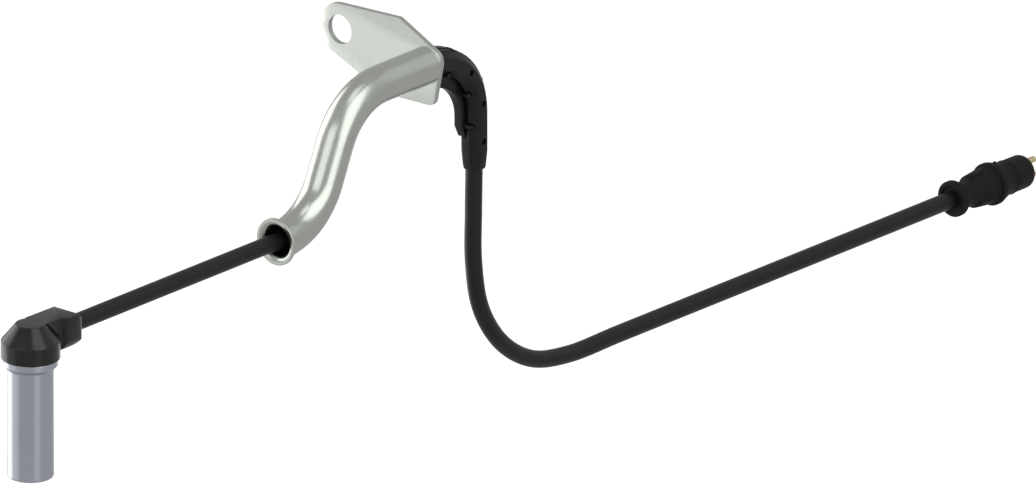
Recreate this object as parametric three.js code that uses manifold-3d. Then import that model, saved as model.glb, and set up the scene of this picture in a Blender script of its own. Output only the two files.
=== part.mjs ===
// Angled wheel speed sensor with a bent guide tube, a bolt-on bracket, a clip-on elbow and a two-pin plug.
//
// Millimetres, +Z up. The origin is on the bracket's front face, midway between the bolt hole and the tube.
// +X runs along the tube towards the plug, +Y towards the bolt hole. The sensor, the cable, the tube and the
// plug all lie in one upright plane, which the harness group carries to the tube's side of the bracket.
import * as THREE from 'three';
import { mergeVertices } from 'three/addons/utils/BufferGeometryUtils.js';
import Module from 'manifold-3d';

const wasm = await Module();
wasm.setup();

// Clearances
const seatGap = 0.3;
const cutOver = 1;

// Sensor sleeve
const sleeveDiameter = 16;
const sleeveLength = 43;
const sleeveWall = 0.6;
const sleeveFloor = 0.6;
const sleeveEdgeRadius = 1;
const sleeveFlangeDiameter = 19;
const sleeveFlangeHeight = 2.2;
const sleeveTaperHeight = 1.5;

// Sensor head, heights measured from the cable's axis
const headDiameter = 20.4;
const headTopDiameter = 10.4;
const headTopHeight = 6.4;
const headShoulderHeight = 0.2;
const headDepth = 6.1;
const headEdgeChamfer = 0.4;
const headSpigotLength = 4;
const headChamberWall = 0.8;
const headChamberHeight = 1;
const coreChannelRadius = 2.8;

// Cable outlet arm of the head
const armLength = 20.6;
const armHalfWidth = 5;
const armWaistHalfWidth = 4.7;
const armWaistAt = 9.5;
const armCollarHalfWidth = 5.7;
const armCollarAt = 14;
const armWaistEase = 2;
const armCollarEase = 2.5;
const armTipHalfWidth = 4.4;
const armTopLength = 17.6;
const armDepth = 5.2;
const armTipRound = 6.2;
const armUnderRound = 2.4;
const cableSocketDepth = 8;

// Pieces inside the sleeve
const polePinDiameter = 4;
const polePinLength = 22;
const polePinHeadDiameter = 7.6;
const polePinHeadHeight = 2;
const magnetDiameter = 8;
const magnetHeight = 8;
const bobbinCoreWall = 1;
const bobbinFlangeHeight = 1.2;
const bobbinCupRim = 1.6;
const windingDepth = 2.8;
const terminalThickness = 0.6;
const terminalWidth = 2.2;
const terminalSlotDepth = 5;
const terminalStandOut = 3;
const crimpLength = 4.5;
const crimpWall = 0.4;
const coreDiameter = 1.6;
const coreSpread = 1.2;

// Cable
const cableDiameter = 6;
const cableSteps = 80;

// Guide tube, bent in the harness plane as a tube bender makes it
const tubeDiameter = 13.2;
const tubeWall = 1.1;
const tubeBendRadius = 25.5;
const tubeBendAngle = 65.6;
const tubeRise = 42.2;
const tubeMouthStraight = 2.6;
const tubePlateStraight = 24.3;
const tubeLipDiameter = 16.8;
const tubeLipThickness = 0.9;
const tubeFlareDepth = 2.5;

// Bracket plate, its outline measured from the tube's axis
const plateThickness = 2;
const plateEdgeBreak = 0.25;
const boltHoleDiameter = 10.5;
const boltHoleRim = 4.05;
const boltHoleY = 38.9;
const boltHoleZ = 3.5;
const plateTopZ = 14.1;
const plateShoulderY = 12.5;
const plateFrontY = -7;
const plateSlopeFootZ = 4.4;
const plateBottomZ = -14.4;
const plateHeelY = -3.3;
const plateToeY = 19.5;
const plateToeDrop = 0.6;
const plateShoulderRound = 2;
const plateFrontRound = 5;
const plateHeelRound = 3.5;
const plateToeRound = 8;
const plateBoreDiameter = 9.5;
const plateSeatWidth = 0.8;

// Clip-on elbow behind the plate
const elbowBendRadius = 23;
const elbowHalfWidth = 4.4;
const coverHalfWidth = 4.6;
const coverInnerHalfWidth = 6.3;
const coverGussetRadius = 15.2;
const coverGussetDrop = 2.2;
const coverLegLength = 9.2;
const coverEndSlant = 3.2;
const bootStraight = 5.4;
const bootTaperLength = 5.9;
const bootEndHalfWidth = 3.85;
const bootChamfer = 0.8;
const elbowChannelRadius = 3.8;
const elbowNeckLength = 6;
const elbowCollarDiameter = 10.3;
const elbowCollarLength = 2;
const latchCount = 3;
const latchPitch = 14;
const firstLatchAt = 13;
const latchPegRadius = 0.8;
const latchPegInset = 0.3;
const latchPegReach = 2.7;
const outerPegReach = 1.7;
const latchPegRoot = 1.2;
const dimpleRadius = 0.9;
const dimpleDepth = 0.9;
const dimpleOffset = 5.5;

// Plug, its stations measured from its rear face
const plugRearX = 273.4;
const plugDrop = 125.9;
const plugFlangeRadius = 6.35;
const plugFlangeThickness = 2.4;
const plugFlangeRound = 0.8;
const plugCupRadius = 4.7;
const plugCupDepth = 1.2;
const plugNeckRadius = 4.65;
const plugNeckAt = 6.4;
const plugConeAt = 10.4;
const plugConeRadius = 5;
const plugRibAt = 19.4;
const plugConeEndRadius = 6.5;
const plugRibRadius = 7.5;
const plugRibWidth = 1.6;
const plugBodyLength = 25.2;
const plugFrontRadius = 6.15;
const plugLugLength = 6;
const plugLugHalfWidth = 3.2;
const plugLugRise = 0.8;
const plugKeyRadius = 0.75;
const plugKeyHeight = 7.1;
const plugKeyAt = 23.6;
const plugCoreBoreLength = 1.2;
const plugCoreSpreadLength = 3.3;
const plugCavityRadius = 4.4;
const plugSeatDepth = 7.5;
const plugSeatWall = 0.85;
const plugJacketEnd = 8.3;

// Plug insert, seal and contacts
const insertRadius = 5.9;
const insertLength = 38.8;
const insertNoseRound = 2.9;
const sealAt = 28.6;
const sealSection = 0.45;
const sealGrooveDepth = 0.9;
const pinSpacing = 5.2;
const pinDiameter = 2.3;
const pinStandOut = 5.1;
const pinShoulderDiameter = 3;
const pinShoulderLength = 3;
const plugCrimpLength = 4.4;

// Facets
const fineFacets = 48;
const plainFacets = 32;
const smallFacets = 16;
const arcFacets = 8;
const plateFacets = 14;
const bendStepAngle = 8;
const roundSteps = 5;
const pinTipSteps = 3;
const cableFacets = 12;
const coreFacets = 8;
const coreSteps = 20;
const sealFacets = 8;

// Places worked out from the dimensions
const mountY = boltHoleY / 2;
const mountZ = boltHoleZ / 2;
const tubeRadius = tubeDiameter / 2;
const tubeBoreRadius = tubeRadius - tubeWall;
const cableRadius = cableDiameter / 2;
const cableBoreRadius = cableRadius + seatGap;
const bendAngle = THREE.MathUtils.degToRad(tubeBendAngle);
const bendRise = tubeBendRadius * (1 - Math.cos(bendAngle));
const bendRun = tubeBendRadius * Math.sin(bendAngle);
const tubeSlope = (tubeRise - 2 * bendRise) / Math.sin(bendAngle);
const tubeMouthX = -tubePlateStraight - 2 * bendRun - tubeSlope * Math.cos(bendAngle) - tubeMouthStraight;
const sensorX = -206.2;
const sensorZ = -tubeRise;
const elbowLegX = plateThickness + elbowBendRadius;
const coverEndZ = -elbowBendRadius - coverLegLength;
const bootTaperZ = coverEndZ - bootStraight;
const bootEndZ = bootTaperZ - bootTaperLength - bootChamfer;

// The cable's route in the harness plane, from inside the head to inside the plug
const cableRoute = [
    [-193.3, -42.2], [-185, -42.2], [-160, -42.2], [-130, -42.2], [-100, -42.2], [-84, -42.2], [-76.3, -42.2],
    [-66.8, -40.3], [-58.6, -35], [-53.1, -27.2], [-50.3, -21.1], [-47.5, -15], [-42, -7.2], [-33.9, -1.9],
    [-24.3, 0], [-12, 0], [2, 0], [8, -0.8], [13.5, -3.1], [18.3, -6.7], [21.9, -11.5], [24.2, -17],
    [25, -23], [25, -34], [24.9, -45], [24.6, -60], [24.6, -78], [28.2, -95.9], [39, -111.7],
    [55, -122.2], [74, -125.9], [100, -125.9], [140, -125.9], [180, -125.9], [220, -125.9], [255, -125.9],
    [270, -125.9], [281.7, -125.9],
];

// Finishes
const finish = (color, roughness, metalness) =>
    new THREE.MeshStandardMaterial({ color, roughness, metalness, flatShading: true });
const steel = finish(0x9da2aa, 0.35, 1);
const tubeMetal = finish(0xc9cec6, 0.25, 1);
const plateMetal = finish(0xd3d9d1, 0.4, 0.9);
const headPlastic = finish(0x2b2d2c, 0.45, 0);
const elbowPlastic = finish(0x262827, 0.5, 0);
const plugRubber = finish(0x222423, 0.6, 0);
const sealRubber = finish(0x1c1d1d, 0.7, 0);
const cableSheath = finish(0x2c2d2d, 0.5, 0);
const brass = finish(0xc9ab62, 0.3, 1);
const copper = finish(0xb5693c, 0.4, 1);
const softIron = finish(0x77787a, 0.5, 1);
const magnetCoat = finish(0x8b8c90, 0.3, 1);
const bobbinPlastic = finish(0x6b5a3c, 0.6, 0);
const coreWhite = finish(0xe6e3da, 0.5, 0);
const coreBrown = finish(0x6a4327, 0.5, 0);

// A geometry as a solid that can be cut and joined
function solidOf(geometry) {
    const bare = geometry.clone();
    bare.deleteAttribute('normal');
    bare.deleteAttribute('uv');
    const merged = mergeVertices(bare, 1e-4);
    const corners = merged.index.array;
    const triangles = [];
    for (let i = 0; i < corners.length; i += 3) {
        const [a, b, c] = corners.slice(i, i + 3);
        if (a !== b && b !== c && c !== a) triangles.push(a, b, c);
    }
    return new wasm.Manifold(new wasm.Mesh({
        numProp: 3,
        vertProperties: new Float32Array(merged.attributes.position.array),
        triVerts: new Uint32Array(triangles),
    }));
}

// A solid as a geometry that a mesh can show
function geometryOf(solid) {
    const mesh = solid.getMesh();
    const geometry = new THREE.BufferGeometry();
    geometry.setAttribute('position', new THREE.BufferAttribute(mesh.vertProperties, 3));
    geometry.setIndex(new THREE.BufferAttribute(mesh.triVerts, 1));
    return geometry;
}

// All the given solids joined, or the first one cut by all the others
const join = (...solids) => solids.reduce((whole, solid) => whole.add(solid));
const cut = (body, ...tools) => tools.reduce((left, tool) => left.subtract(tool), body);

// A solid of revolution from [radius, station] points, about the Z axis
function turnedZ(profile, facets) {
    const points = profile.map(([radius, station]) => new THREE.Vector2(radius, station));
    return solidOf(new THREE.LatheGeometry(points, facets).rotateX(Math.PI / 2));
}

// The same about the X axis
function turnedX(profile, facets) {
    const points = profile.map(([radius, station]) => new THREE.Vector2(radius, station));
    return solidOf(new THREE.LatheGeometry(points, facets).rotateZ(-Math.PI / 2));
}

// A round bar between two stations on an axis, for bores, pins and pegs
const barProfile = (radius, from, to) => [[0, from], [radius, from], [radius, to], [0, to]];
const barZ = (radius, from, to, facets) => turnedZ(barProfile(radius, from, to), facets);
const barX = (radius, from, to, facets) => turnedX(barProfile(radius, from, to), facets);
const barY = (radius, from, to, facets) => barX(radius, from, to, facets).rotate([0, 0, 90]);

// The angles of a rounded edge's facets
const quarterTurn = (steps) => Array.from({ length: steps + 1 }, (_, i) => Math.PI / 2 * i / steps);

// A tube ring between two radii, as a profile that closes on itself
const ringProfile = (inner, outer, from, to) =>
    [[inner, from], [outer, from], [outer, to], [inner, to], [inner, from]];

// A block between two corners
function block(low, high) {
    const size = high.map((value, axis) => value - low[axis]);
    const middle = high.map((value, axis) => (value + low[axis]) / 2);
    return solidOf(new THREE.BoxGeometry(...size).translate(...middle));
}

// Extrusions of an outline: across the harness plane, upwards, and along the tube
function acrossY(outline, halfWidth, bevel = 0) {
    const geometry = new THREE.ExtrudeGeometry(outline, {
        depth: 2 * (halfWidth - bevel), curveSegments: arcFacets, bevelEnabled: bevel > 0,
        bevelSegments: 1, bevelSize: bevel, bevelThickness: bevel, bevelOffset: -bevel,
    });
    return solidOf(geometry.translate(0, 0, bevel - halfWidth).rotateX(Math.PI / 2));
}

function upZ(outline, from, to) {
    const geometry = new THREE.ExtrudeGeometry(outline, {
        depth: to - from, curveSegments: arcFacets, bevelEnabled: false,
    });
    return solidOf(geometry.translate(0, 0, from));
}

function alongX(outline, from, to, edgeBreak = 0) {
    const geometry = new THREE.ExtrudeGeometry(outline, {
        depth: to - from - 2 * edgeBreak, curveSegments: plateFacets, bevelEnabled: edgeBreak > 0,
        bevelSegments: 1, bevelSize: edgeBreak, bevelThickness: edgeBreak, bevelOffset: -edgeBreak,
    });
    const yzx = new THREE.Matrix4().makeBasis(
        new THREE.Vector3(0, 1, 0), new THREE.Vector3(0, 0, 1), new THREE.Vector3(1, 0, 0));
    return solidOf(geometry.translate(0, 0, from + edgeBreak).applyMatrix4(yzx));
}

// A line in the harness plane made of straights and arcs: a turn is positive upwards
class BentRun extends THREE.Curve {
    constructor(startX, startZ, heading, moves) {
        super();
        this.pieces = [];
        this.stations = [0];
        let [x, z, angle] = [startX, startZ, heading];
        for (const { length = 0, radius = 0, turn = 0 } of moves) {
            const from = this.stations.at(-1);
            const span = length + radius * Math.abs(turn);
            const steps = Math.ceil(THREE.MathUtils.radToDeg(Math.abs(turn)) / bendStepAngle) || 1;
            this.pieces.push({ x, z, angle, radius, turn, from });
            for (let i = 1; i <= steps; i++) this.stations.push(from + span * i / steps);
            [x, z, angle] = this.place(this.pieces.at(-1), span);
        }
        this.steps = this.stations.length - 1;
    }

    // Position and heading at a distance along one piece
    place({ x, z, angle, radius, turn }, along) {
        if (turn === 0) return [x + along * Math.cos(angle), z + along * Math.sin(angle), angle];
        const side = Math.sign(turn);
        const end = angle + side * along / radius;
        return [
            x + side * radius * (Math.sin(end) - Math.sin(angle)),
            z - side * radius * (Math.cos(end) - Math.cos(angle)),
            end,
        ];
    }

    at(distance) {
        const piece = this.pieces.findLast(({ from }) => from <= distance) ?? this.pieces[0];
        return this.place(piece, distance - piece.from);
    }

    // A straight is one step and a bend is many, so the stations aren't evenly spaced
    getPointAt(t, target = new THREE.Vector3()) {
        const [x, z] = this.at(this.stations[Math.round(t * this.steps)]);
        return target.set(x, 0, z);
    }

    // Section x runs along +Y and section y to the left of the heading, so a section never twists
    computeFrenetFrames() {
        const headings = this.stations.map((station) => this.at(station)[2]);
        return {
            tangents: headings.map((angle) => new THREE.Vector3(Math.cos(angle), 0, Math.sin(angle))),
            normals: headings.map(() => new THREE.Vector3(0, 1, 0)),
            binormals: headings.map((angle) => new THREE.Vector3(-Math.sin(angle), 0, Math.cos(angle))),
        };
    }
}

// A section of regular sides carried along a curve
function swept(curve, radius, sides, steps = curve.steps) {
    const section = new THREE.Shape();
    for (let i = 0; i < sides; i++) {
        const angle = 2 * Math.PI * i / sides;
        const point = [radius * Math.cos(angle), radius * Math.sin(angle)];
        if (i === 0) section.moveTo(...point);
        else section.lineTo(...point);
    }
    return new THREE.ExtrudeGeometry(section, { steps, extrudePath: curve, bevelEnabled: false });
}

const bentBar = (run, radius, sides) => solidOf(swept(run, radius, sides));

// Runs an outline up to a corner and rounds it off towards the next point
function roundCorner(outline, before, corner, after, radius) {
    const back = before.clone().sub(corner).normalize();
    const ahead = after.clone().sub(corner).normalize();
    const half = Math.acos(back.dot(ahead)) / 2;
    const centre = back.clone().add(ahead).normalize().multiplyScalar(radius / Math.sin(half)).add(corner);
    const start = back.clone().multiplyScalar(radius / Math.tan(half)).add(corner).sub(centre);
    const end = ahead.clone().multiplyScalar(radius / Math.tan(half)).add(corner).sub(centre);
    outline.absarc(centre.x, centre.y, radius, start.angle(), end.angle(), back.cross(ahead) > 0);
}

// The point where a line from a corner touches a circle, on the chosen side
function tangentPoint(centre, radius, from, side) {
    const reach = from.clone().sub(centre);
    const angle = reach.angle() + side * Math.acos(radius / reach.length());
    return new THREE.Vector2(Math.cos(angle), Math.sin(angle)).multiplyScalar(radius).add(centre);
}

// Names a piece, gives it its finish and hangs it in its group
function addPiece(parent, name, shape, material) {
    const mesh = new THREE.Mesh(shape.isBufferGeometry ? shape : geometryOf(shape), material);
    mesh.name = name;
    parent.add(mesh);
}

// Sensor group, with its origin where the sleeve's axis meets the cable's axis
const sensor = new THREE.Group();
const sleeveRadius = sleeveDiameter / 2;
const sleeveBore = sleeveRadius - sleeveWall;
const sleeveTop = -headDepth;
const sleeveFoot = sleeveTop - sleeveLength;
const floorTop = sleeveFoot + sleeveFloor;

function sleeve() {
    const flange = sleeveFlangeDiameter / 2;
    const taperTop = sleeveTop - sleeveFlangeHeight;
    const edge = quarterTurn(roundSteps).map((angle) => [
        sleeveRadius - sleeveEdgeRadius * (1 - Math.sin(angle)),
        sleeveFoot + sleeveEdgeRadius * (1 - Math.cos(angle)),
    ]);
    return turnedZ([
        [0, sleeveFoot], ...edge, [sleeveRadius, taperTop - sleeveTaperHeight],
        [flange, taperTop], [flange, sleeveTop], [sleeveBore, sleeveTop], [sleeveBore, floorTop],
        [0, floorTop],
    ], fineFacets);
}

// Plan, side and end views of the outlet arm, which is where all three overlap
function armPlan() {
    const [easeFrom, easeTo] = [armWaistAt + armWaistEase, armCollarAt - armCollarEase];
    const plan = new THREE.Shape();
    plan.moveTo(0, -armHalfWidth);
    plan.lineTo(armWaistAt, -armWaistHalfWidth);
    plan.bezierCurveTo(easeFrom, -armWaistHalfWidth, easeTo, -armCollarHalfWidth,
        armCollarAt, -armCollarHalfWidth);
    const cornerHalfWidth = (armCollarHalfWidth + armTipHalfWidth) / 2;
    plan.bezierCurveTo(armTopLength, -armCollarHalfWidth, armLength, -cornerHalfWidth,
        armLength, -armTipHalfWidth);
    plan.lineTo(armLength, armTipHalfWidth);
    plan.bezierCurveTo(armLength, cornerHalfWidth, armTopLength, armCollarHalfWidth,
        armCollarAt, armCollarHalfWidth);
    plan.bezierCurveTo(easeTo, armCollarHalfWidth, easeFrom, armWaistHalfWidth,
        armWaistAt, armWaistHalfWidth);
    plan.lineTo(0, armHalfWidth);
    return upZ(plan, -armDepth, headTopHeight);
}

function armSide() {
    const roundTop = armTipRound - armDepth;
    const side = new THREE.Shape();
    side.moveTo(0, -armDepth);
    side.lineTo(armLength - armTipRound, -armDepth);
    side.absarc(armLength - armTipRound, roundTop, armTipRound, -Math.PI / 2, 0, false);
    side.quadraticCurveTo(armLength, (roundTop + headTopHeight) / 2, armTopLength, headTopHeight);
    side.lineTo(0, headTopHeight);
    return acrossY(side, armCollarHalfWidth + cutOver);
}

function armEnd() {
    const halfWidth = armCollarHalfWidth + cutOver / 2;
    const corner = (y, z) => new THREE.Vector2(y, z);
    const [topLeft, topRight] = [corner(-halfWidth, headTopHeight), corner(halfWidth, headTopHeight)];
    const [footLeft, footRight] = [corner(-armHalfWidth, -armDepth), corner(armHalfWidth, -armDepth)];
    const end = new THREE.Shape();
    end.moveTo(topRight.x, topRight.y);
    end.lineTo(topLeft.x, topLeft.y);
    roundCorner(end, topLeft, footLeft, footRight, armUnderRound);
    roundCorner(end, footLeft, footRight, topRight, armUnderRound);
    return alongX(end, 0, armLength + cutOver);
}

const chamberRadius = sleeveBore - seatGap - headChamberWall;

function head() {
    const outer = headDiameter / 2;
    const spigotFoot = -headDepth - headSpigotLength;
    const bonnet = turnedZ([
        [0, -headDepth], [outer - headEdgeChamfer, -headDepth], [outer, headEdgeChamfer - headDepth],
        [outer, headShoulderHeight], [headTopDiameter / 2, headTopHeight], [0, headTopHeight],
    ], fineFacets);
    const arm = armPlan().intersect(armSide()).intersect(armEnd());
    const spigot = barZ(sleeveBore - seatGap, spigotFoot, 0, plainFacets);
    return cut(
        join(bonnet, arm, spigot),
        barZ(chamberRadius, spigotFoot - cutOver, headChamberHeight, plainFacets),
        barX(coreChannelRadius, 0, armLength, smallFacets),
        barX(cableBoreRadius, armLength - cableSocketDepth, armLength + cutOver, smallFacets),
    );
}

// Stations of the inner pieces, stacked up from the sleeve's floor
const stackFoot = floorTop + seatGap;
const cupFloor = stackFoot + polePinLength;
const pinHeadFoot = cupFloor + seatGap;
const magnetFoot = pinHeadFoot + polePinHeadHeight + seatGap;
const cupTop = magnetFoot + magnetHeight + bobbinCupRim;
const bobbinRadius = sleeveBore - seatGap;
const bobbinBore = polePinDiameter / 2 + seatGap;
const bobbinCore = bobbinBore + bobbinCoreWall;
const cupBore = magnetDiameter / 2 + seatGap;
const terminalY = (cupBore + bobbinRadius) / 2;
const crimpInner = coreDiameter / 2 + seatGap;
const crimpY = terminalY + terminalThickness / 2 - crimpInner - crimpWall;
const crimpFoot = cupTop + terminalStandOut;

function polePin() {
    return turnedZ([
        [0, stackFoot], [polePinDiameter / 2, stackFoot], [polePinDiameter / 2, pinHeadFoot],
        [polePinHeadDiameter / 2, pinHeadFoot], [polePinHeadDiameter / 2, pinHeadFoot + polePinHeadHeight],
        [0, pinHeadFoot + polePinHeadHeight],
    ], plainFacets);
}

function bobbin() {
    const flangeTop = stackFoot + bobbinFlangeHeight;
    const upperFlangeFoot = cupFloor - bobbinFlangeHeight;
    const spool = turnedZ([
        [bobbinBore, stackFoot], [bobbinRadius, stackFoot], [bobbinRadius, flangeTop],
        [bobbinCore, flangeTop], [bobbinCore, upperFlangeFoot], [bobbinRadius, upperFlangeFoot],
        [bobbinRadius, cupTop], [cupBore, cupTop], [cupBore, cupFloor], [bobbinBore, cupFloor],
        [bobbinBore, stackFoot],
    ], plainFacets);
    const slot = terminalThickness / 2 + seatGap;
    const slots = [-1, 1].map((side) => block(
        [-terminalWidth / 2 - seatGap, side * terminalY - slot, cupTop - terminalSlotDepth - seatGap],
        [terminalWidth / 2 + seatGap, side * terminalY + slot, cupTop + cutOver],
    ));
    return cut(spool, ...slots);
}

function winding() {
    const foot = stackFoot + bobbinFlangeHeight + seatGap;
    const top = cupFloor - bobbinFlangeHeight - seatGap;
    const inner = bobbinCore + seatGap;
    return turnedZ(ringProfile(inner, inner + windingDepth, foot, top), plainFacets);
}

const magnet = () => barZ(magnetDiameter / 2, magnetFoot, magnetFoot + magnetHeight, plainFacets);

// Flat blade with a round crimp barrel round the core's end
function terminal(side) {
    const half = terminalThickness / 2;
    const blade = block(
        [-terminalWidth / 2, side * terminalY - half, cupTop - terminalSlotDepth],
        [terminalWidth / 2, side * terminalY + half, crimpFoot + crimpWall],
    );
    const barrel = barZ(crimpInner + crimpWall, crimpFoot, crimpFoot + crimpLength, smallFacets);
    const bore = barZ(crimpInner, crimpFoot + crimpWall, crimpFoot + crimpLength + cutOver, smallFacets);
    const offset = [0, side * crimpY, 0];
    return cut(join(blade, barrel.translate(offset)), bore.translate(offset));
}

// One core from the jacket's end, round the corner and down into its crimp
function sensorCore(side) {
    const start = armLength - cableSocketDepth;
    const foot = crimpFoot + crimpWall + seatGap;
    const route = new THREE.CatmullRomCurve3([
        new THREE.Vector3(start, side * coreSpread, 0),
        new THREE.Vector3(start / 2, side * coreSpread, 0),
        new THREE.Vector3(2.2, side * 2.4, -1.2),
        new THREE.Vector3(0.3, side * (crimpY - 0.2), -4),
        new THREE.Vector3(0, side * crimpY, crimpFoot + crimpLength),
        new THREE.Vector3(0, side * crimpY, foot),
    ]);
    return swept(route, coreDiameter / 2, coreFacets, coreSteps);
}

sensor.position.set(sensorX, 0, sensorZ);
addPiece(sensor, 'sensor_sleeve', sleeve(), steel);
addPiece(sensor, 'sensor_head', head(), headPlastic);
addPiece(sensor, 'pole_pin', polePin(), softIron);
addPiece(sensor, 'coil_bobbin', bobbin(), bobbinPlastic);
addPiece(sensor, 'coil_winding', winding(), copper);
addPiece(sensor, 'magnet', magnet(), magnetCoat);
addPiece(sensor, 'terminal_a', terminal(-1), brass);
addPiece(sensor, 'terminal_b', terminal(1), brass);
addPiece(sensor, 'sensor_core_a', sensorCore(-1), coreWhite);
addPiece(sensor, 'sensor_core_b', sensorCore(1), coreBrown);

// Cable, guide tube and bracket
function cable() {
    const points = cableRoute.map(([x, z]) => new THREE.Vector3(x, 0, z));
    const route = new THREE.CatmullRomCurve3(points, false, 'centripetal');
    return swept(route, cableRadius, cableFacets, cableSteps);
}

// The tube's centre line, lengthened at both ends by the given amount
const tubeRun = (extra) => new BentRun(tubeMouthX - extra, sensorZ, 0, [
    { length: tubeMouthStraight + extra },
    { radius: tubeBendRadius, turn: bendAngle },
    { length: tubeSlope },
    { radius: tubeBendRadius, turn: -bendAngle },
    { length: tubePlateStraight + extra },
]);

// The flared mouth turns out from the tube's wall to the lip, like a trumpet's bell
function flareProfile(wallRadius, lipRadius, depth) {
    return quarterTurn(roundSteps).map((angle) => [
        lipRadius - (lipRadius - wallRadius) * Math.sin(angle),
        tubeMouthX + depth * (1 - Math.cos(angle)),
    ]);
}

function guideTube() {
    const lip = tubeLipDiameter / 2;
    const outerFlare = flareProfile(tubeRadius, lip, tubeFlareDepth)
        .map(([radius, x]) => [radius, x + tubeLipThickness]);
    const bell = turnedX([
        [0, tubeMouthX], [lip, tubeMouthX], ...outerFlare, [0, outerFlare.at(-1)[1]],
    ], plainFacets).translate([0, 0, sensorZ]);
    const throatFlare = flareProfile(tubeBoreRadius, lip - tubeLipThickness, tubeFlareDepth);
    const throat = turnedX([
        [0, tubeMouthX - cutOver], [lip - tubeLipThickness, tubeMouthX - cutOver], ...throatFlare,
        [0, throatFlare.at(-1)[1]],
    ], plainFacets).translate([0, 0, sensorZ]);
    return cut(
        join(bentBar(tubeRun(0), tubeRadius, plainFacets), bell),
        bentBar(tubeRun(cutOver), tubeBoreRadius, plainFacets),
        throat,
    );
}

function bracketPlate() {
    const at = (y, z) => new THREE.Vector2(y, z);
    const eye = at(boltHoleY, boltHoleZ);
    const eyeRadius = boltHoleDiameter / 2 + boltHoleRim;
    const shoulder = at(plateShoulderY, plateTopZ);
    const front = at(plateFrontY, plateSlopeFootZ);
    const heel = at(plateHeelY, plateBottomZ);
    const toe = at(plateToeY, plateBottomZ - plateToeDrop);
    const eyeTop = tangentPoint(eye, eyeRadius, shoulder, -1);
    const eyeFoot = tangentPoint(eye, eyeRadius, toe, 1);
    const outline = new THREE.Shape();
    const [eyeStart, eyeEnd] = [eyeFoot, eyeTop].map((point) => point.clone().sub(eye).angle());
    outline.absarc(eye.x, eye.y, eyeRadius, eyeStart, eyeEnd, false);
    roundCorner(outline, eyeTop, shoulder, front, plateShoulderRound);
    roundCorner(outline, shoulder, front, heel, plateFrontRound);
    roundCorner(outline, front, heel, toe, plateHeelRound);
    roundCorner(outline, heel, toe, eyeFoot, plateToeRound);
    outline.holes.push(new THREE.Path().absarc(eye.x, eye.y, boltHoleDiameter / 2, 0, 2 * Math.PI, true));
    const seat = barX(tubeRadius + plateSeatWidth, -cutOver, plateThickness + cutOver, plainFacets);
    return join(cut(alongX(outline, 0, plateThickness, plateEdgeBreak), seat), plateSeat());
}

// The disc of the plate that the tube ends on, with the elbow's bore through it
function plateSeat() {
    const bore = plateBoreDiameter / 2;
    const boreMouth = bore + plateEdgeBreak;
    const rim = tubeRadius + plateSeatWidth;
    return turnedX([
        [boreMouth, 0], [rim, 0], [rim, plateThickness], [boreMouth, plateThickness],
        [bore, plateThickness - plateEdgeBreak], [bore, plateEdgeBreak], [boreMouth, 0],
    ], plainFacets);
}

// Elbow: both halves are side views extruded across the plane, with their edges chamfered
const elbowCentre = [plateThickness, -elbowBendRadius];
const octagonBevel = (halfWidth) => halfWidth * (1 - Math.tan(Math.PI / 8));
const elbowRun = new BentRun(-elbowNeckLength - cutOver, 0, 0, [
    { length: elbowNeckLength + cutOver + plateThickness },
    { radius: elbowBendRadius, turn: -Math.PI / 2 },
    { length: -elbowBendRadius - bootEndZ - bootChamfer },
]);
const alongElbow = new BentRun(plateThickness, 0, 0, [
    { radius: elbowBendRadius, turn: -Math.PI / 2 },
    { length: -elbowBendRadius - bootEndZ },
]);

function elbowOutline(outer, inner, innerRadius, innerDrop, endZ, slant) {
    const [cx, cz] = elbowCentre;
    const innerZ = cz - innerDrop;
    const start = cx - elbowHalfWidth;
    const legInner = elbowLegX - inner;
    const outline = new THREE.Shape();
    outline.moveTo(start, innerZ + innerRadius);
    outline.lineTo(start, outer);
    outline.absarc(cx, cz, elbowBendRadius + outer, Math.PI / 2, 0, true);
    outline.lineTo(elbowLegX + outer, endZ);
    outline.lineTo(legInner + (slant > 0 ? inner - elbowHalfWidth : 0), endZ);
    if (slant > 0) outline.lineTo(legInner, endZ + slant);
    outline.absarc(legInner - innerRadius, innerZ, innerRadius, 0, Math.PI / 2, false);
    return outline;
}

// The neck passes through the plate's bore, and its collar snaps in behind the plate
function elbowNeck() {
    const neck = plateBoreDiameter / 2 - seatGap;
    const collar = elbowCollarDiameter / 2;
    const collarTop = -seatGap - elbowCollarLength;
    return turnedX([
        [0, -elbowNeckLength], [neck, -elbowNeckLength], [collar, collarTop], [collar, -seatGap],
        [neck, -seatGap], [neck, plateThickness + cutOver], [0, plateThickness + cutOver],
    ], plainFacets);
}

function elbowBoot() {
    const toCorner = 1 / Math.cos(Math.PI / 8);
    const frustum = (from, to, length, top) => solidOf(
        new THREE.CylinderGeometry(from * toCorner, to * toCorner, length, 8, 1, false, Math.PI / 8)
            .rotateX(Math.PI / 2).translate(elbowLegX, 0, top - length / 2));
    const taperFoot = bootTaperZ - bootTaperLength;
    const chamferEnd = bootEndHalfWidth - bootChamfer / 2;
    return join(
        frustum(elbowHalfWidth, elbowHalfWidth, bootStraight, coverEndZ),
        frustum(elbowHalfWidth, bootEndHalfWidth, bootTaperLength, bootTaperZ),
        frustum(bootEndHalfWidth, chamferEnd, bootChamfer, taperFoot),
    );
}

// Latch pegs lie across the seam on the inner and outer side of the bend
function latchPegs(gap) {
    const pegs = [];
    for (let i = 0; i < latchCount; i++) {
        const [x, z, angle] = alongElbow.at(firstLatchAt + i * latchPitch);
        for (const side of [-1, 1]) {
            const out = side * (elbowHalfWidth - latchPegInset);
            const reach = side > 0 ? outerPegReach : latchPegReach;
            const peg = barY(latchPegRadius + gap, -reach - gap, latchPegRoot, smallFacets);
            pegs.push(peg.translate([x - out * Math.sin(angle), 0, z + out * Math.cos(angle)]));
        }
    }
    return pegs;
}

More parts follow.
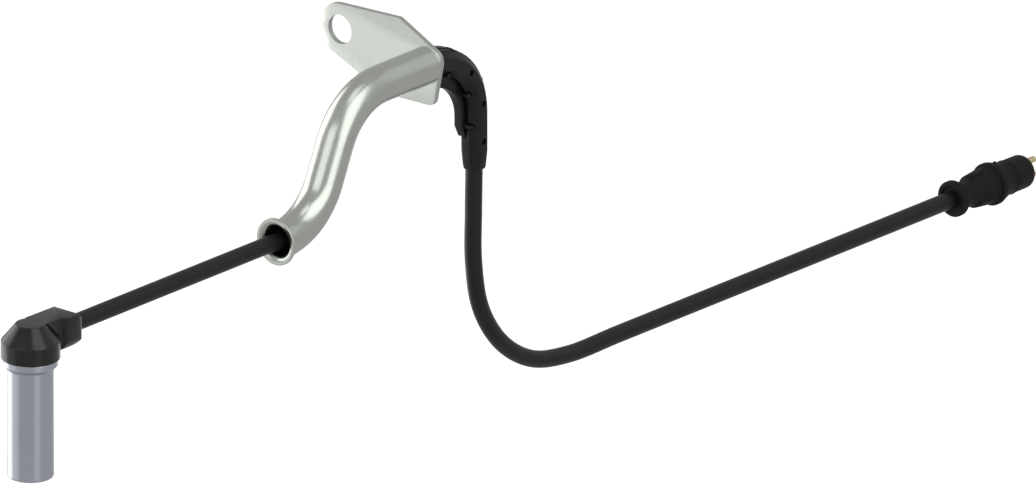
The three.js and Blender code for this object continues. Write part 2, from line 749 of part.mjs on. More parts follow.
function dimples() {
    const floor = dimpleDepth - elbowHalfWidth;
    return Array.from({ length: latchCount }, (_, i) => {
        const [x, z] = alongElbow.at(firstLatchAt + dimpleOffset + i * latchPitch);
        return barY(dimpleRadius, -elbowHalfWidth - cutOver, floor, smallFacets).translate([x, 0, z]);
    });
}

const elbowChannel = () => join(
    bentBar(elbowRun, elbowChannelRadius, smallFacets),
    barZ(cableBoreRadius, bootEndZ - cutOver, -elbowBendRadius, smallFacets).translate([elbowLegX, 0, 0]),
);
const farAway = 100;
const behindPlate = block([plateThickness + seatGap, -farAway, -farAway], [farAway, farAway, farAway]);

function elbowShell() {
    const outline = elbowOutline(elbowHalfWidth, elbowHalfWidth, elbowBendRadius - elbowHalfWidth, 0,
        coverEndZ - elbowHalfWidth, 0);
    const leg = block([-farAway, -farAway, coverEndZ - cutOver], [farAway, farAway, farAway]);
    const body = acrossY(outline, elbowHalfWidth, octagonBevel(elbowHalfWidth))
        .intersect(behindPlate).intersect(leg);
    const coverSide = block([-farAway, -seatGap / 2, coverEndZ - seatGap], [farAway, farAway, farAway]);
    return cut(
        join(body, elbowNeck(), elbowBoot()),
        elbowChannel(), coverSide, ...latchPegs(seatGap), ...dimples(),
    );
}

function elbowCover() {
    const outline = elbowOutline(coverHalfWidth, coverInnerHalfWidth, coverGussetRadius, coverGussetDrop,
        coverEndZ, coverEndSlant);
    const trimmed = acrossY(outline, coverHalfWidth, octagonBevel(elbowHalfWidth) - seatGap)
        .intersect(behindPlate);
    const farSide = block([-farAway, seatGap / 2, -farAway], [farAway, farAway, farAway]);
    const body = cut(join(trimmed, elbowNeck()).intersect(farSide), elbowChannel());
    return join(body, ...latchPegs(0));
}

// Plug group, with its origin on the plug's axis at its rear face
const plug = new THREE.Group();
const insertSeatX = plugBodyLength - plugSeatDepth;
const insertSeatRadius = plugFrontRadius - plugSeatWall;
const coreBoreStart = plugJacketEnd + seatGap;
const plugCavityStart = coreBoreStart + plugCoreBoreLength;
const crimpStartX = plugCavityStart + plugCoreSpreadLength;
const pinHoleRadius = pinDiameter / 2 + seatGap;
const shoulderHoleRadius = pinShoulderDiameter / 2 + seatGap;
const pinShoulderEnd = insertSeatX + seatGap + pinShoulderLength;

function plugBody() {
    const rim = plugFlangeRadius - plugFlangeRound;
    const lugFront = plugConeAt + plugLugLength;
    const coneSlope = (plugConeEndRadius - plugConeRadius) / (plugRibAt - plugConeAt);
    const shell = turnedX([
        [0, plugCupDepth], [plugCupRadius - plugCupDepth / 2, plugCupDepth], [plugCupRadius, 0], [rim, 0],
        [plugFlangeRadius, plugFlangeRound], [plugFlangeRadius, plugFlangeThickness],
        [(plugFlangeRadius + plugNeckRadius) / 2, (plugFlangeThickness + plugNeckAt) / 2 - plugFlangeRound],
        [plugNeckRadius, plugNeckAt], [plugConeRadius, plugConeAt], [plugConeEndRadius, plugRibAt],
        [plugRibRadius, plugRibAt], [plugRibRadius, plugRibAt + plugRibWidth],
        [plugFrontRadius, plugBodyLength], [0, plugBodyLength],
    ], fineFacets);
    const lugRound = turnedX([
        [0, plugConeAt], [plugConeRadius + plugLugRise, plugConeAt],
        [plugConeRadius + coneSlope * plugLugLength + plugLugRise / 2, lugFront], [0, lugFront],
    ], plainFacets);
    const lugSpan = block(
        [plugConeAt, -plugLugHalfWidth, -plugRibRadius], [lugFront, plugLugHalfWidth, plugRibRadius]);
    const key = barZ(plugKeyRadius, 0, plugKeyHeight, smallFacets).translate([plugKeyAt, 0, 0]);
    return cut(
        join(shell, lugRound.intersect(lugSpan), key),
        barX(cableBoreRadius, -cutOver, coreBoreStart, smallFacets),
        barX(coreChannelRadius, 0, plugCavityStart + cutOver, smallFacets),
        barX(plugCavityRadius, plugCavityStart, plugBodyLength - cutOver, plainFacets),
        barX(insertSeatRadius, insertSeatX, plugBodyLength + cutOver, plainFacets),
    );
}

function plugInsert() {
    const noseStart = insertLength - insertNoseRound;
    const nose = quarterTurn(roundSteps).map((angle) => [
        insertRadius - insertNoseRound * (1 - Math.cos(angle)),
        noseStart + insertNoseRound * Math.sin(angle),
    ]);
    const grooveHalf = sealSection + seatGap;
    const groove = insertRadius - sealGrooveDepth;
    const spigot = insertSeatRadius - seatGap;
    const barrel = turnedX([
        [0, insertSeatX + seatGap], [spigot, insertSeatX + seatGap], [spigot, plugBodyLength + seatGap],
        [insertRadius, plugBodyLength + seatGap], [insertRadius, sealAt - grooveHalf],
        [groove, sealAt - grooveHalf], [groove, sealAt + grooveHalf], [insertRadius, sealAt + grooveHalf],
        ...nose, [0, insertLength],
    ], fineFacets);
    const holes = [-1, 1].flatMap((side) => [
        barX(pinHoleRadius, insertSeatX, insertLength + cutOver, smallFacets),
        barX(shoulderHoleRadius, insertSeatX - cutOver, pinShoulderEnd + seatGap, smallFacets),
    ].map((hole) => hole.translate([0, 0, side * pinSpacing / 2])));
    return cut(barrel, ...holes);
}

// Seal ring of round section, seated in the insert's groove
function plugSeal() {
    const middle = insertRadius - sealGrooveDepth + seatGap + sealSection;
    const section = Array.from({ length: sealFacets + 1 }, (_, i) => {
        const angle = 2 * Math.PI * (i % sealFacets) / sealFacets;
        return [middle + sealSection * Math.cos(angle), sealAt + sealSection * Math.sin(angle)];
    });
    return turnedX(section, fineFacets);
}

function contactPin(side) {
    const radius = pinDiameter / 2;
    const shoulder = pinShoulderDiameter / 2;
    const tip = insertLength + pinStandOut;
    const crimpEnd = crimpStartX + plugCrimpLength;
    const roundTip = quarterTurn(pinTipSteps).slice(0, -1)
        .map((angle) => [radius * Math.cos(angle), tip - radius * (1 - Math.sin(angle))]);
    const blank = turnedX([
        [0, crimpStartX], [crimpInner + crimpWall, crimpStartX], [crimpInner + crimpWall, crimpEnd],
        [shoulder, crimpEnd], [shoulder, pinShoulderEnd], [radius, pinShoulderEnd], ...roundTip, [0, tip],
    ], smallFacets);
    const bore = barX(crimpInner, crimpStartX - cutOver, crimpEnd - crimpWall, smallFacets);
    return blank.subtract(bore).translate([0, 0, side * pinSpacing / 2]);
}

function plugCore(side) {
    const pinZ = side * pinSpacing / 2;
    const route = new THREE.CatmullRomCurve3([
        new THREE.Vector3(coreBoreStart, 0, side * coreSpread),
        new THREE.Vector3(coreBoreStart + 2, 0, side * coreSpread * 1.2),
        new THREE.Vector3(crimpStartX, 0, pinZ),
        new THREE.Vector3(crimpStartX + plugCrimpLength - crimpWall - seatGap, 0, pinZ),
    ]);
    return swept(route, coreDiameter / 2, coreFacets, coreSteps / 2);
}

plug.position.set(plugRearX, 0, -plugDrop);
addPiece(plug, 'plug_body', plugBody(), plugRubber);
addPiece(plug, 'plug_insert', plugInsert(), elbowPlastic);
addPiece(plug, 'plug_seal', plugSeal(), sealRubber);
addPiece(plug, 'contact_pin_a', contactPin(1), brass);
addPiece(plug, 'contact_pin_b', contactPin(-1), brass);
addPiece(plug, 'plug_core_a', plugCore(1), coreWhite);
addPiece(plug, 'plug_core_b', plugCore(-1), coreBrown);

// Harness plane, carried from the tube's axis to the mount point
const harness = new THREE.Group();
harness.position.set(0, -mountY, -mountZ);
harness.add(sensor, plug);
addPiece(harness, 'sensor_cable', cable(), cableSheath);
addPiece(harness, 'guide_tube', guideTube(), tubeMetal);
addPiece(harness, 'bracket_plate', bracketPlate(), plateMetal);
addPiece(harness, 'elbow_shell', elbowShell(), elbowPlastic);
addPiece(harness, 'elbow_cover', elbowCover(), elbowPlastic);

const assembly = new THREE.Group();
assembly.add(harness);

export default assembly;
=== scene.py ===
"""Looks of the angled wheel speed sensor with its guide tube, bracket, elbow, cable and plug.

Every piece is modelled in millimetres in the harness frame, whose origin is where the tube's axis meets the
bracket's front face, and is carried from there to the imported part's frame in metres.
"""

import logging
import math
from collections.abc import Callable, Iterator, Sequence
from contextlib import contextmanager
from dataclasses import dataclass
from enum import Enum

import bmesh
import bpy
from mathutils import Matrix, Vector

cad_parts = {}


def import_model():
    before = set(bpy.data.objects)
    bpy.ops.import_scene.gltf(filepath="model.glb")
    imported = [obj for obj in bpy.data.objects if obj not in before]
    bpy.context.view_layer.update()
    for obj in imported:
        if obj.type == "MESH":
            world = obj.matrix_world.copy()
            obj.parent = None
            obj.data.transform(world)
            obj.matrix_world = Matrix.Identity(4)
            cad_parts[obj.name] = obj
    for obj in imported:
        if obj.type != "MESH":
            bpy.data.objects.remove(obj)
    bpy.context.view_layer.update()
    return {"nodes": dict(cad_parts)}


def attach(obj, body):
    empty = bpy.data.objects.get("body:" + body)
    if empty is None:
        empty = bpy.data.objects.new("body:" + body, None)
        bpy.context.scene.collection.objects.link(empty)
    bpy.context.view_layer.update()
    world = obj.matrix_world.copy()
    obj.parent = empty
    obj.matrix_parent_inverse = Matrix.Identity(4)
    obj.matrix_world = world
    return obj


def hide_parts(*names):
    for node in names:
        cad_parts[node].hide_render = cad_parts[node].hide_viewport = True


LOG = logging.getLogger("sensor")
MM = 0.001
WELD = 0.002 * MM
SAME_PLACE = 1e-6
CUT_OVER = 1.0
HARNESS = Vector((0.0, -19.45, -1.75))
BODY = "root"

Point = tuple[float, float]
Triple = tuple[float, float, float]


def at(x: float, y: float, z: float) -> Vector:
    """A point of the harness frame, in millimetres, as a point of the part's frame, in metres."""
    return (Vector((x, y, z)) + HARNESS) * MM


def heading(azimuth: float, elevation: float) -> Vector:
    """The direction at an angle about Z from +X and an angle above level, both in degrees."""
    turn, rise = math.radians(azimuth), math.radians(elevation)
    return Vector((math.cos(turn) * math.cos(rise), math.sin(turn) * math.cos(rise), math.sin(rise)))


class Axis(Enum):
    """The direction that a turned piece's axis runs in."""

    X = "x"
    Z = "z"


class Cut(Enum):
    """How one solid is combined with another."""

    AWAY = "DIFFERENCE"
    ONTO = "UNION"
    WITHIN = "INTERSECT"


# Modelling


def clear_selection() -> None:
    """Leaves edit mode and deselects everything."""
    if bpy.context.mode != "OBJECT":
        bpy.ops.object.mode_set(mode="OBJECT")
    bpy.ops.object.select_all(action="DESELECT")


def activate(piece: bpy.types.Object) -> None:
    """Makes a piece the only selected and active one."""
    clear_selection()
    piece.select_set(True)
    bpy.context.view_layer.objects.active = piece


def select_everything() -> None:
    """Selects the whole mesh, in edit mode."""
    bpy.ops.mesh.select_all(action="SELECT")


def named(name: str) -> bpy.types.Object:
    """Names the new active object and its mesh, and moves its place into its mesh.

    Args:
        name: the new name.

    Returns:
        The object.
    """
    piece = bpy.context.active_object
    piece.name = name
    piece.data.name = name
    bpy.ops.object.transform_apply(location=True, rotation=True, scale=True)
    return piece


@contextmanager
def editing(piece: bpy.types.Object, kind: str = "FACE") -> Iterator[None]:
    """Edit mode on one piece, with everything in it deselected.

    Args:
        piece: the mesh to edit.
        kind: what is selected there, VERT, EDGE or FACE.
    """
    activate(piece)
    bpy.ops.object.mode_set(mode="EDIT")
    bpy.ops.mesh.select_mode(type=kind)
    bpy.ops.mesh.select_all(action="DESELECT")
    yield
    bpy.ops.object.mode_set(mode="OBJECT")


def pick_edges(piece: bpy.types.Object, test: Callable[[Vector], bool]) -> None:
    """Selects, in edit mode, only the edges of which both ends pass a test.

    Args:
        piece: the mesh that is being edited.
        test: says whether an end's place is wanted.
    """
    bpy.ops.mesh.select_all(action="DESELECT")
    mesh = bmesh.from_edit_mesh(piece.data)
    for edge in mesh.edges:
        if all(test(end.co) for end in edge.verts):
            edge.select_set(True)
    bmesh.update_edit_mesh(piece.data)


def push(offset: Vector) -> None:
    """Extrudes the selection by an offset in metres."""
    bpy.ops.mesh.extrude_region_move(TRANSFORM_OT_translate={"value": offset})


def draw_line(points: Sequence[Vector]) -> None:
    """Draws a line of edges, in edit mode, and leaves its last vertex selected.

    Args:
        points: the line's vertices, in metres.
    """
    bpy.ops.mesh.primitive_plane_add(size=MM)
    bpy.ops.mesh.merge(type="CENTER")
    bpy.ops.transform.translate(value=points[0])
    for here, there in zip(points, points[1:]):
        push(there - here)


def empty_piece(name: str) -> bpy.types.Object:
    """Starts a piece whose mesh has nothing in it yet.

    Args:
        name: the new piece's name.

    Returns:
        The piece.
    """
    clear_selection()
    bpy.ops.mesh.primitive_plane_add(size=MM)
    piece = named(name)
    with editing(piece, "VERT"):
        select_everything()
        bpy.ops.mesh.delete(type="VERT")
    return piece


def outlined(name: str, points: Sequence[Vector]) -> bpy.types.Object:
    """A flat face drawn by its outline.

    Args:
        name: the new piece's name.
        points: the outline's corners, in order, in metres.

    Returns:
        The piece, which is one face.
    """
    piece = empty_piece(name)
    with editing(piece, "VERT"):
        draw_line([*points, points[0]])
        select_everything()
        bpy.ops.mesh.remove_doubles(threshold=WELD)
        bpy.ops.mesh.edge_face_add()
    return piece


def slab(name: str, points: Sequence[Vector], offset: Vector) -> bpy.types.Object:
    """An outline extruded into a solid.

    Args:
        name: the new piece's name.
        points: the outline's corners, in order, in metres.
        offset: how far the outline is extruded, in metres.

    Returns:
        The closed solid.
    """
    piece = outlined(name, points)
    with editing(piece):
        select_everything()
        push(offset)
        select_everything()
        bpy.ops.mesh.normals_make_consistent(inside=False)
    return piece


def turned(
    name: str, profile: Sequence[Point], axis: Axis, origin: Point = (0.0, 0.0), steps: int = 128
) -> bpy.types.Object:
    """A solid of revolution about an axis in the harness plane.

    Args:
        name: the new piece's name.
        profile: points (radius, station) in millimetres, ending on the axis or closing on themselves.
        axis: the axis's direction.
        origin: where the axis's station 0 is, (x, z) in the harness plane.
        steps: how many steps the full turn has.

    Returns:
        The closed solid.
    """
    x, z = origin
    if axis is Axis.X:
        points = [at(x + station, 0, z + radius) for radius, station in profile]
        direction = (1, 0, 0)
    else:
        points = [at(x + radius, 0, z + station) for radius, station in profile]
        direction = (0, 0, 1)
    piece = empty_piece(name)
    with editing(piece, "VERT"):
        draw_line(points)
        select_everything()
        bpy.ops.mesh.spin(steps=steps, angle=2 * math.pi, center=at(x, 0, z), axis=direction)
        close_up()
    return piece


def close_up() -> None:
    """Merges what lies on one point and turns every face outwards, in edit mode."""
    select_everything()
    bpy.ops.mesh.remove_doubles(threshold=WELD)
    bpy.ops.mesh.normals_make_consistent(inside=False)


def bar(name: str, radius: float, start: Vector, end: Vector, sides: int = 48) -> bpy.types.Object:
    """A round bar between two points.

    Args:
        name: the new piece's name.
        radius: in millimetres.
        start: centre of one end, in metres.
        end: centre of the other end, in metres.
        sides: how many sides it has.

    Returns:
        The closed solid.
    """
    clear_selection()
    span = end - start
    bpy.ops.mesh.primitive_cylinder_add(
        vertices=sides,
        radius=radius * MM,
        depth=span.length,
        location=(start + end) / 2,
        rotation=span.to_track_quat("Z", "Y").to_euler(),
    )
    return named(name)


def apply_modifier(piece: bpy.types.Object, kind: str, **settings: object) -> None:
    """Adds a modifier to a piece and applies it.

    Args:
        piece: the piece.
        kind: the modifier's type.
        settings: its values by name.
    """
    modifier = piece.modifiers.new(kind.title(), kind)
    for key, value in settings.items():
        setattr(modifier, key, value)
    activate(piece)
    bpy.ops.object.modifier_apply(modifier=modifier.name)


def combine(piece: bpy.types.Object, tools: Sequence[bpy.types.Object], how: Cut) -> None:
    """Combines a piece with other solids in turn, and deletes them.

    Args:
        piece: the piece that is kept.
        tools: the solids that are used up.
        how: whether they are cut away, joined on or set the piece's bounds.
    """
    for tool in tools:
        apply_modifier(piece, "BOOLEAN", object=tool, operation=how.value, solver="EXACT")
        bpy.data.objects.remove(tool)
        with editing(piece):
            close_up()


def round_edges(piece: bpy.types.Object, radius: float, angle: float = 35.0, segments: int = 3) -> None:
    """Rounds a piece's sharp edges.

    Args:
        piece: the piece.
        radius: in millimetres.
        angle: the least angle of an edge that is rounded, in degrees.
        segments: steps across each rounded edge.
    """
    apply_modifier(
        piece,
        "BEVEL",
        width=radius * MM,
        segments=segments,
        limit_method="ANGLE",
        angle_limit=math.radians(angle),
        use_clamp_overlap=True,
    )


def smooth(piece: bpy.types.Object, angle: float = 30.0) -> None:
    """Shades a piece smooth, apart from edges sharper than an angle in degrees."""
    activate(piece)
    bpy.ops.object.shade_smooth_by_angle(angle=math.radians(angle))


def arc(centre: Point, radius: float, start: float, end: float, steps: int) -> list[Point]:
    """Points along an arc.

    Args:
        centre: of the arc.
        radius: of the arc.
        start: angle of the first point, in degrees.
        end: angle of the last point, in degrees.
        steps: how many steps lie between them.

    Returns:
        The points, both ends included.
    """
    turns = [math.radians(start + (end - start) * i / steps) for i in range(steps + 1)]
    return [(centre[0] + radius * math.cos(turn), centre[1] + radius * math.sin(turn)) for turn in turns]


def filleted(corners: Sequence[Triple], steps: int = 5) -> list[Point]:
    """An open line whose inner corners are rounded.

    Args:
        corners: (x, y, fillet radius) of each corner. The first and last are kept as they are.
        steps: how many steps each rounded corner has.

    Returns:
        The line's points.
    """
    line = [Vector(corners[0][:2])]
    for before, corner, after in zip(corners, corners[1:], corners[2:]):
        here = Vector(corner[:2])
        back = Vector(before[:2]) - here
        ahead = Vector(after[:2]) - here
        half = back.angle(ahead) / 2
        if corner[2] <= 0 or half > math.radians(89):
            line.append(here)
            continue
        reach = min(corner[2] / math.tan(half), back.length / 2, ahead.length / 2)
        start = here + back.normalized() * reach
        end = here + ahead.normalized() * reach
        for i in range(steps + 1):
            t = i / steps
            line.append(start * (1 - t) ** 2 + here * 2 * t * (1 - t) + end * t**2)
    line.append(Vector(corners[-1][:2]))
    return [(point.x, point.y) for point in line]


# Finishes


class Grain(Enum):
    """The direction that a finish's fine marks run in, as the stretch of its pattern along X, Y and Z."""

    MOULDED = (1.0, 1.0, 1.0)
    TURNED_ON_X = (1.0, 0.03, 0.03)
    TURNED_ON_Z = (0.03, 0.03, 1.0)
    ROLLED = (1.0, 0.08, 1.0)
    ALONG_CORD = (1.0, 0.02, 1.0)


@dataclass(frozen=True)
class Finish:
    """A surface's colour, gloss, fine grain, slow clouding and worn edges.

    Attributes:
        name: the material's name.
        colour: linear base colour.
        roughness: mean roughness.
        metallic: 1 for bare metal.
        grain: direction of the fine marks.
        grain_size: width of a fine mark, in millimetres.
        grain_depth: height of the fine marks, in millimetres.
        cloud_size: width of the slow patches, in millimetres.
        cloud_share: how far the patches change the colour.
        gloss_share: how far the patches change the roughness.
        edge_lift: how much lighter worn edges are.
        specular: strength of the plain reflection.
    """

    name: str
    colour: Triple
    roughness: float
    metallic: float = 0.0
    grain: Grain = Grain.MOULDED
    grain_size: float = 0.25
    grain_depth: float = 0.01
    cloud_size: float = 8.0
    cloud_share: float = 0.12
    gloss_share: float = 0.15
    edge_lift: float = 0.0
    specular: float = 0.5

    def build(self) -> bpy.types.Material:
        """Makes the material's nodes.

        Returns:
            The finished material.
        """
        material = bpy.data.materials.new(self.name)
        material.use_nodes = True
        tree = material.node_tree
        shader = tree.nodes["Principled BSDF"]
        shader.inputs["Metallic"].default_value = self.metallic
        shader.inputs["Specular IOR Level"].default_value = self.specular
        place = self.coordinates(tree)
        fine = self.noise(tree, place, 1.0 / (self.grain_size * MM), self.grain.value)
        slow = self.noise(tree, place, 1.0 / (self.cloud_size * MM), (1.0, 1.0, 1.0))
        self.lay_colour(tree, shader, slow)
        self.lay_gloss(tree, shader, slow, fine)
        bump = tree.nodes.new("ShaderNodeBump")
        bump.inputs["Strength"].default_value = 1.0
        bump.inputs["Distance"].default_value = self.grain_depth * MM
        tree.links.new(fine, bump.inputs["Height"])
        tree.links.new(bump.outputs["Normal"], shader.inputs["Normal"])
        return material

    def coordinates(self, tree: bpy.types.NodeTree) -> bpy.types.NodeSocket:
        """The coordinates that the pattern follows: the piece's own map on a cord, its place elsewhere."""
        node = tree.nodes.new("ShaderNodeTexCoord")
        return node.outputs["UV" if self.grain is Grain.ALONG_CORD else "Object"]

    def noise(
        self, tree: bpy.types.NodeTree, place: bpy.types.NodeSocket, scale: float, stretch: Triple
    ) -> bpy.types.NodeSocket:
        """Adds a noise pattern.

        Args:
            tree: the material's nodes.
            place: the coordinates it reads.
            scale: how fine it is, per metre.
            stretch: its scale along each axis.

        Returns:
            The pattern's value socket.
        """
        mapping = tree.nodes.new("ShaderNodeMapping")
        mapping.inputs["Scale"].default_value = stretch
        pattern = tree.nodes.new("ShaderNodeTexNoise")
        pattern.inputs["Scale"].default_value = scale
        pattern.inputs["Detail"].default_value = 3.0
        tree.links.new(place, mapping.inputs["Vector"])
        tree.links.new(mapping.outputs["Vector"], pattern.inputs["Vector"])
        return pattern.outputs["Fac"]

    def lay_colour(
        self, tree: bpy.types.NodeTree, shader: bpy.types.Node, slow: bpy.types.NodeSocket
    ) -> None:
        """Clouds the base colour, and lightens it along the edges where the finish is worn.

        Args:
            tree: the material's nodes.
            shader: the surface shader.
            slow: the slow pattern.
        """
        shades = tree.nodes.new("ShaderNodeMix")
        shades.data_type = "RGBA"
        for socket, share in ((shades.inputs[6], -self.cloud_share), (shades.inputs[7], self.cloud_share)):
            socket.default_value = (*(min(1.0, part * (1 + share)) for part in self.colour), 1.0)
        tree.links.new(slow, shades.inputs["Factor"])
        if self.edge_lift <= 0:
            tree.links.new(shades.outputs[2], shader.inputs["Base Color"])
            return
        worn = tree.nodes.new("ShaderNodeMix")
        worn.data_type = "RGBA"
        worn.inputs[7].default_value = (*(min(1.0, part + self.edge_lift) for part in self.colour), 1.0)
        tree.links.new(self.edges(tree), worn.inputs["Factor"])
        tree.links.new(shades.outputs[2], worn.inputs[6])
        tree.links.new(worn.outputs[2], shader.inputs["Base Color"])

    def edges(self, tree: bpy.types.NodeTree) -> bpy.types.NodeSocket:
        """Adds a mask that is 1 along a piece's edges and 0 on its faces.

        Args:
            tree: the material's nodes.

        Returns:
            The mask's value socket.
        """
        softened = tree.nodes.new("ShaderNodeBevel")
        softened.inputs["Radius"].default_value = 0.25 * MM
        geometry = tree.nodes.new("ShaderNodeNewGeometry")
        dot = tree.nodes.new("ShaderNodeVectorMath")
        dot.operation = "DOT_PRODUCT"
        mask = tree.nodes.new("ShaderNodeMapRange")
        mask.inputs["From Min"].default_value = 0.995
        mask.inputs["From Max"].default_value = 0.93
        tree.links.new(softened.outputs["Normal"], dot.inputs[0])
        tree.links.new(geometry.outputs["Normal"], dot.inputs[1])
        tree.links.new(dot.outputs["Value"], mask.inputs["Value"])
        return mask.outputs["Result"]

    def lay_gloss(
        self,
        tree: bpy.types.NodeTree,
        shader: bpy.types.Node,
        slow: bpy.types.NodeSocket,
        fine: bpy.types.NodeSocket,
    ) -> None:
        """Varies the roughness with the slow and the fine pattern.

        Args:
            tree: the material's nodes.
            shader: the surface shader.
            slow: the slow pattern.
            fine: the fine pattern.
        """
        both = tree.nodes.new("ShaderNodeMath")
        both.operation = "ADD"
        gloss = tree.nodes.new("ShaderNodeMapRange")
        gloss.inputs["From Min"].default_value = 0.6
        gloss.inputs["From Max"].default_value = 1.4
        gloss.inputs["To Min"].default_value = self.roughness * (1 - self.gloss_share)
        gloss.inputs["To Max"].default_value = self.roughness * (1 + self.gloss_share)
        tree.links.new(slow, both.inputs[0])
        tree.links.new(fine, both.inputs[1])
        tree.links.new(both.outputs["Value"], gloss.inputs["Value"])
        tree.links.new(gloss.outputs["Result"], shader.inputs["Roughness"])


SLEEVE_STEEL = Finish(
    "drawn_sleeve_steel", (0.49, 0.52, 0.575), 0.26, 1.0, Grain.TURNED_ON_Z, 0.4, 0.0004, 12.0, 0.05
)
HEAD_PLASTIC = Finish(
    "moulded_head_plastic", (0.003, 0.0033, 0.0033), 0.24, grain_size=0.22, grain_depth=0.002,
    edge_lift=0.006, specular=0.5,
)
TUBE_METAL = Finish(
    "polished_tube_plating", (0.56, 0.585, 0.54), 0.25, 1.0, grain_size=0.6, grain_depth=0.0008,
    cloud_size=14.0, cloud_share=0.04, gloss_share=0.25,
)
PLATE_METAL = Finish(
    "zinc_plated_sheet", (0.76, 0.795, 0.74), 0.3, 0.95, Grain.ROLLED, 0.35, 0.0004, 9.0, 0.03, 0.2
)
# A darker copy of the plate's metal, laid on the plate's edge faces as painted shade.
PLATE_EDGE_PAINTED_SHADE = Finish(
    "plate_edge_painted_shade", (0.5, 0.52, 0.49), 0.34, 0.95, grain_size=0.2, grain_depth=0.002, cloud_size=4.0
)
ELBOW_PLASTIC = Finish(
    "moulded_elbow_plastic", (0.0045, 0.005, 0.005), 0.38, grain_size=0.2, grain_depth=0.005,
    edge_lift=0.006, specular=0.28,
)
PLUG_RUBBER = Finish(
    "plug_overmould", (0.007, 0.0075, 0.0075), 0.7, grain_size=0.3, grain_depth=0.008, specular=0.2
)
INSERT_PLASTIC = Finish("plug_barrel_plastic", (0.006, 0.0065, 0.0065), 0.6, grain_size=0.25, specular=0.22)
SEAL_RUBBER = Finish(
    "seal_ring_rubber", (0.004, 0.004, 0.004), 0.7, grain_size=0.3, grain_depth=0.015, specular=0.25
)
CABLE_JACKET = Finish(
    "cable_jacket", (0.006, 0.006, 0.006), 0.42, grain=Grain.ALONG_CORD, grain_size=0.45, grain_depth=0.005,
    cloud_size=10.0, cloud_share=0.15, specular=0.33,
)
PIN_BRASS = Finish(
    "contact_brass", (0.72, 0.6, 0.36), 0.24, 1.0, Grain.TURNED_ON_X, 0.15, 0.0015, 2.0, 0.08, edge_lift=0.05
)
INNER_FINISHES = {
    "pole_pin": Finish("soft_iron", (0.13, 0.13, 0.135), 0.5, 1.0, Grain.TURNED_ON_Z, 0.2, 0.003),
    "coil_bobbin": Finish("amber_bobbin", (0.15, 0.1, 0.05), 0.5),
    "coil_winding": Finish("enamelled_wire", (0.46, 0.14, 0.05), 0.35, 1.0, Grain.TURNED_ON_Z, 0.12, 0.05),
    "magnet": Finish("nickel_plated_magnet", (0.27, 0.27, 0.28), 0.25, 1.0, cloud_size=3.0),
    "terminal_a": PIN_BRASS,
    "terminal_b": PIN_BRASS,
    "sensor_core_a": Finish("white_core", (0.78, 0.76, 0.7), 0.5, grain_size=0.4),
    "sensor_core_b": Finish("brown_core", (0.15, 0.06, 0.025), 0.5, grain_size=0.4),
}
INNER_FINISHES["plug_core_a"] = INNER_FINISHES["sensor_core_a"]
INNER_FINISHES["plug_core_b"] = INNER_FINISHES["sensor_core_b"]


class Paints:
    """Builds each finish's material once and hands it out."""

    def __init__(self) -> None:
        """Starts with no material built."""
        self.built: dict[str, bpy.types.Material] = {}

    def material(self, finish: Finish) -> bpy.types.Material:
        """Hands out a finish's material, built the first time it is asked for.

        Args:
            finish: the finish.

        Returns:
            Its only material.
        """
        if finish.name not in self.built:
            self.built[finish.name] = finish.build()
        return self.built[finish.name]

    def coat(self, piece: bpy.types.Object, finish: Finish) -> None:
        """Gives a piece a finish as its only material."""
        piece.data.materials.clear()
        piece.data.materials.append(self.material(finish))

    def coat_node(self, node: bpy.types.Object, finish: Finish) -> None:
        """Gives a carried-over node a finish in its own material slots."""
        for slot in node.material_slots:
            slot.material = self.material(finish)


@dataclass
class SubAssembly:
    """A group of pieces that are modelled and dressed together."""

    paints: Paints

    def hand_over(self, piece: bpy.types.Object, finish: Finish, node: str, slot: str) -> bpy.types.Object:
        """Dresses a finished piece and says which node of the part it stands for.

        Args:
            piece: the finished piece.
            finish: its finish.
            node: the node that it replaces.
            slot: a material slot's name; not used.

        Returns:
            The same piece.
        """
        self.paints.coat(piece, finish)
        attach(piece, BODY)
        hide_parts(node)
        LOG.info("%s: %d faces, stands for %s", piece.name, len(piece.data.polygons), node)
        return piece


# The object's pieces


@dataclass(frozen=True)
class Softbox:
    """A lamp with a rectangular face that is turned to the object.

    Attributes:
        name: the lamp's name.
        azimuth: its direction from the object about Z, in degrees from +X.
        elevation: its height angle, in degrees.
        width: in metres.
        height: in metres.
        glow: how bright its face is, where 1 shows as white.
    """

    name: str
    azimuth: float
    elevation: float
    width: float
    height: float
    glow: float


SOFTBOXES = (
    Softbox("tall_softbox", -103, 33, 1.35, 2.55, 1.3),
    Softbox("left_softbox", -178, 26, 1.3, 1.0, 0.95),
    Softbox("rear_softbox", 100, 2, 1.6, 2.5, 1.5),
    Softbox("top_softbox", -151, 80, 0.65, 0.7, 0.92),
    Softbox("right_softbox", -26, 33, 1.4, 1.3, 0.2),
    Softbox("low_left_softbox", 144, -17, 0.95, 1.05, 0.33),
    Softbox("low_softbox", -114, -24, 0.7, 0.7, 0.22),
)


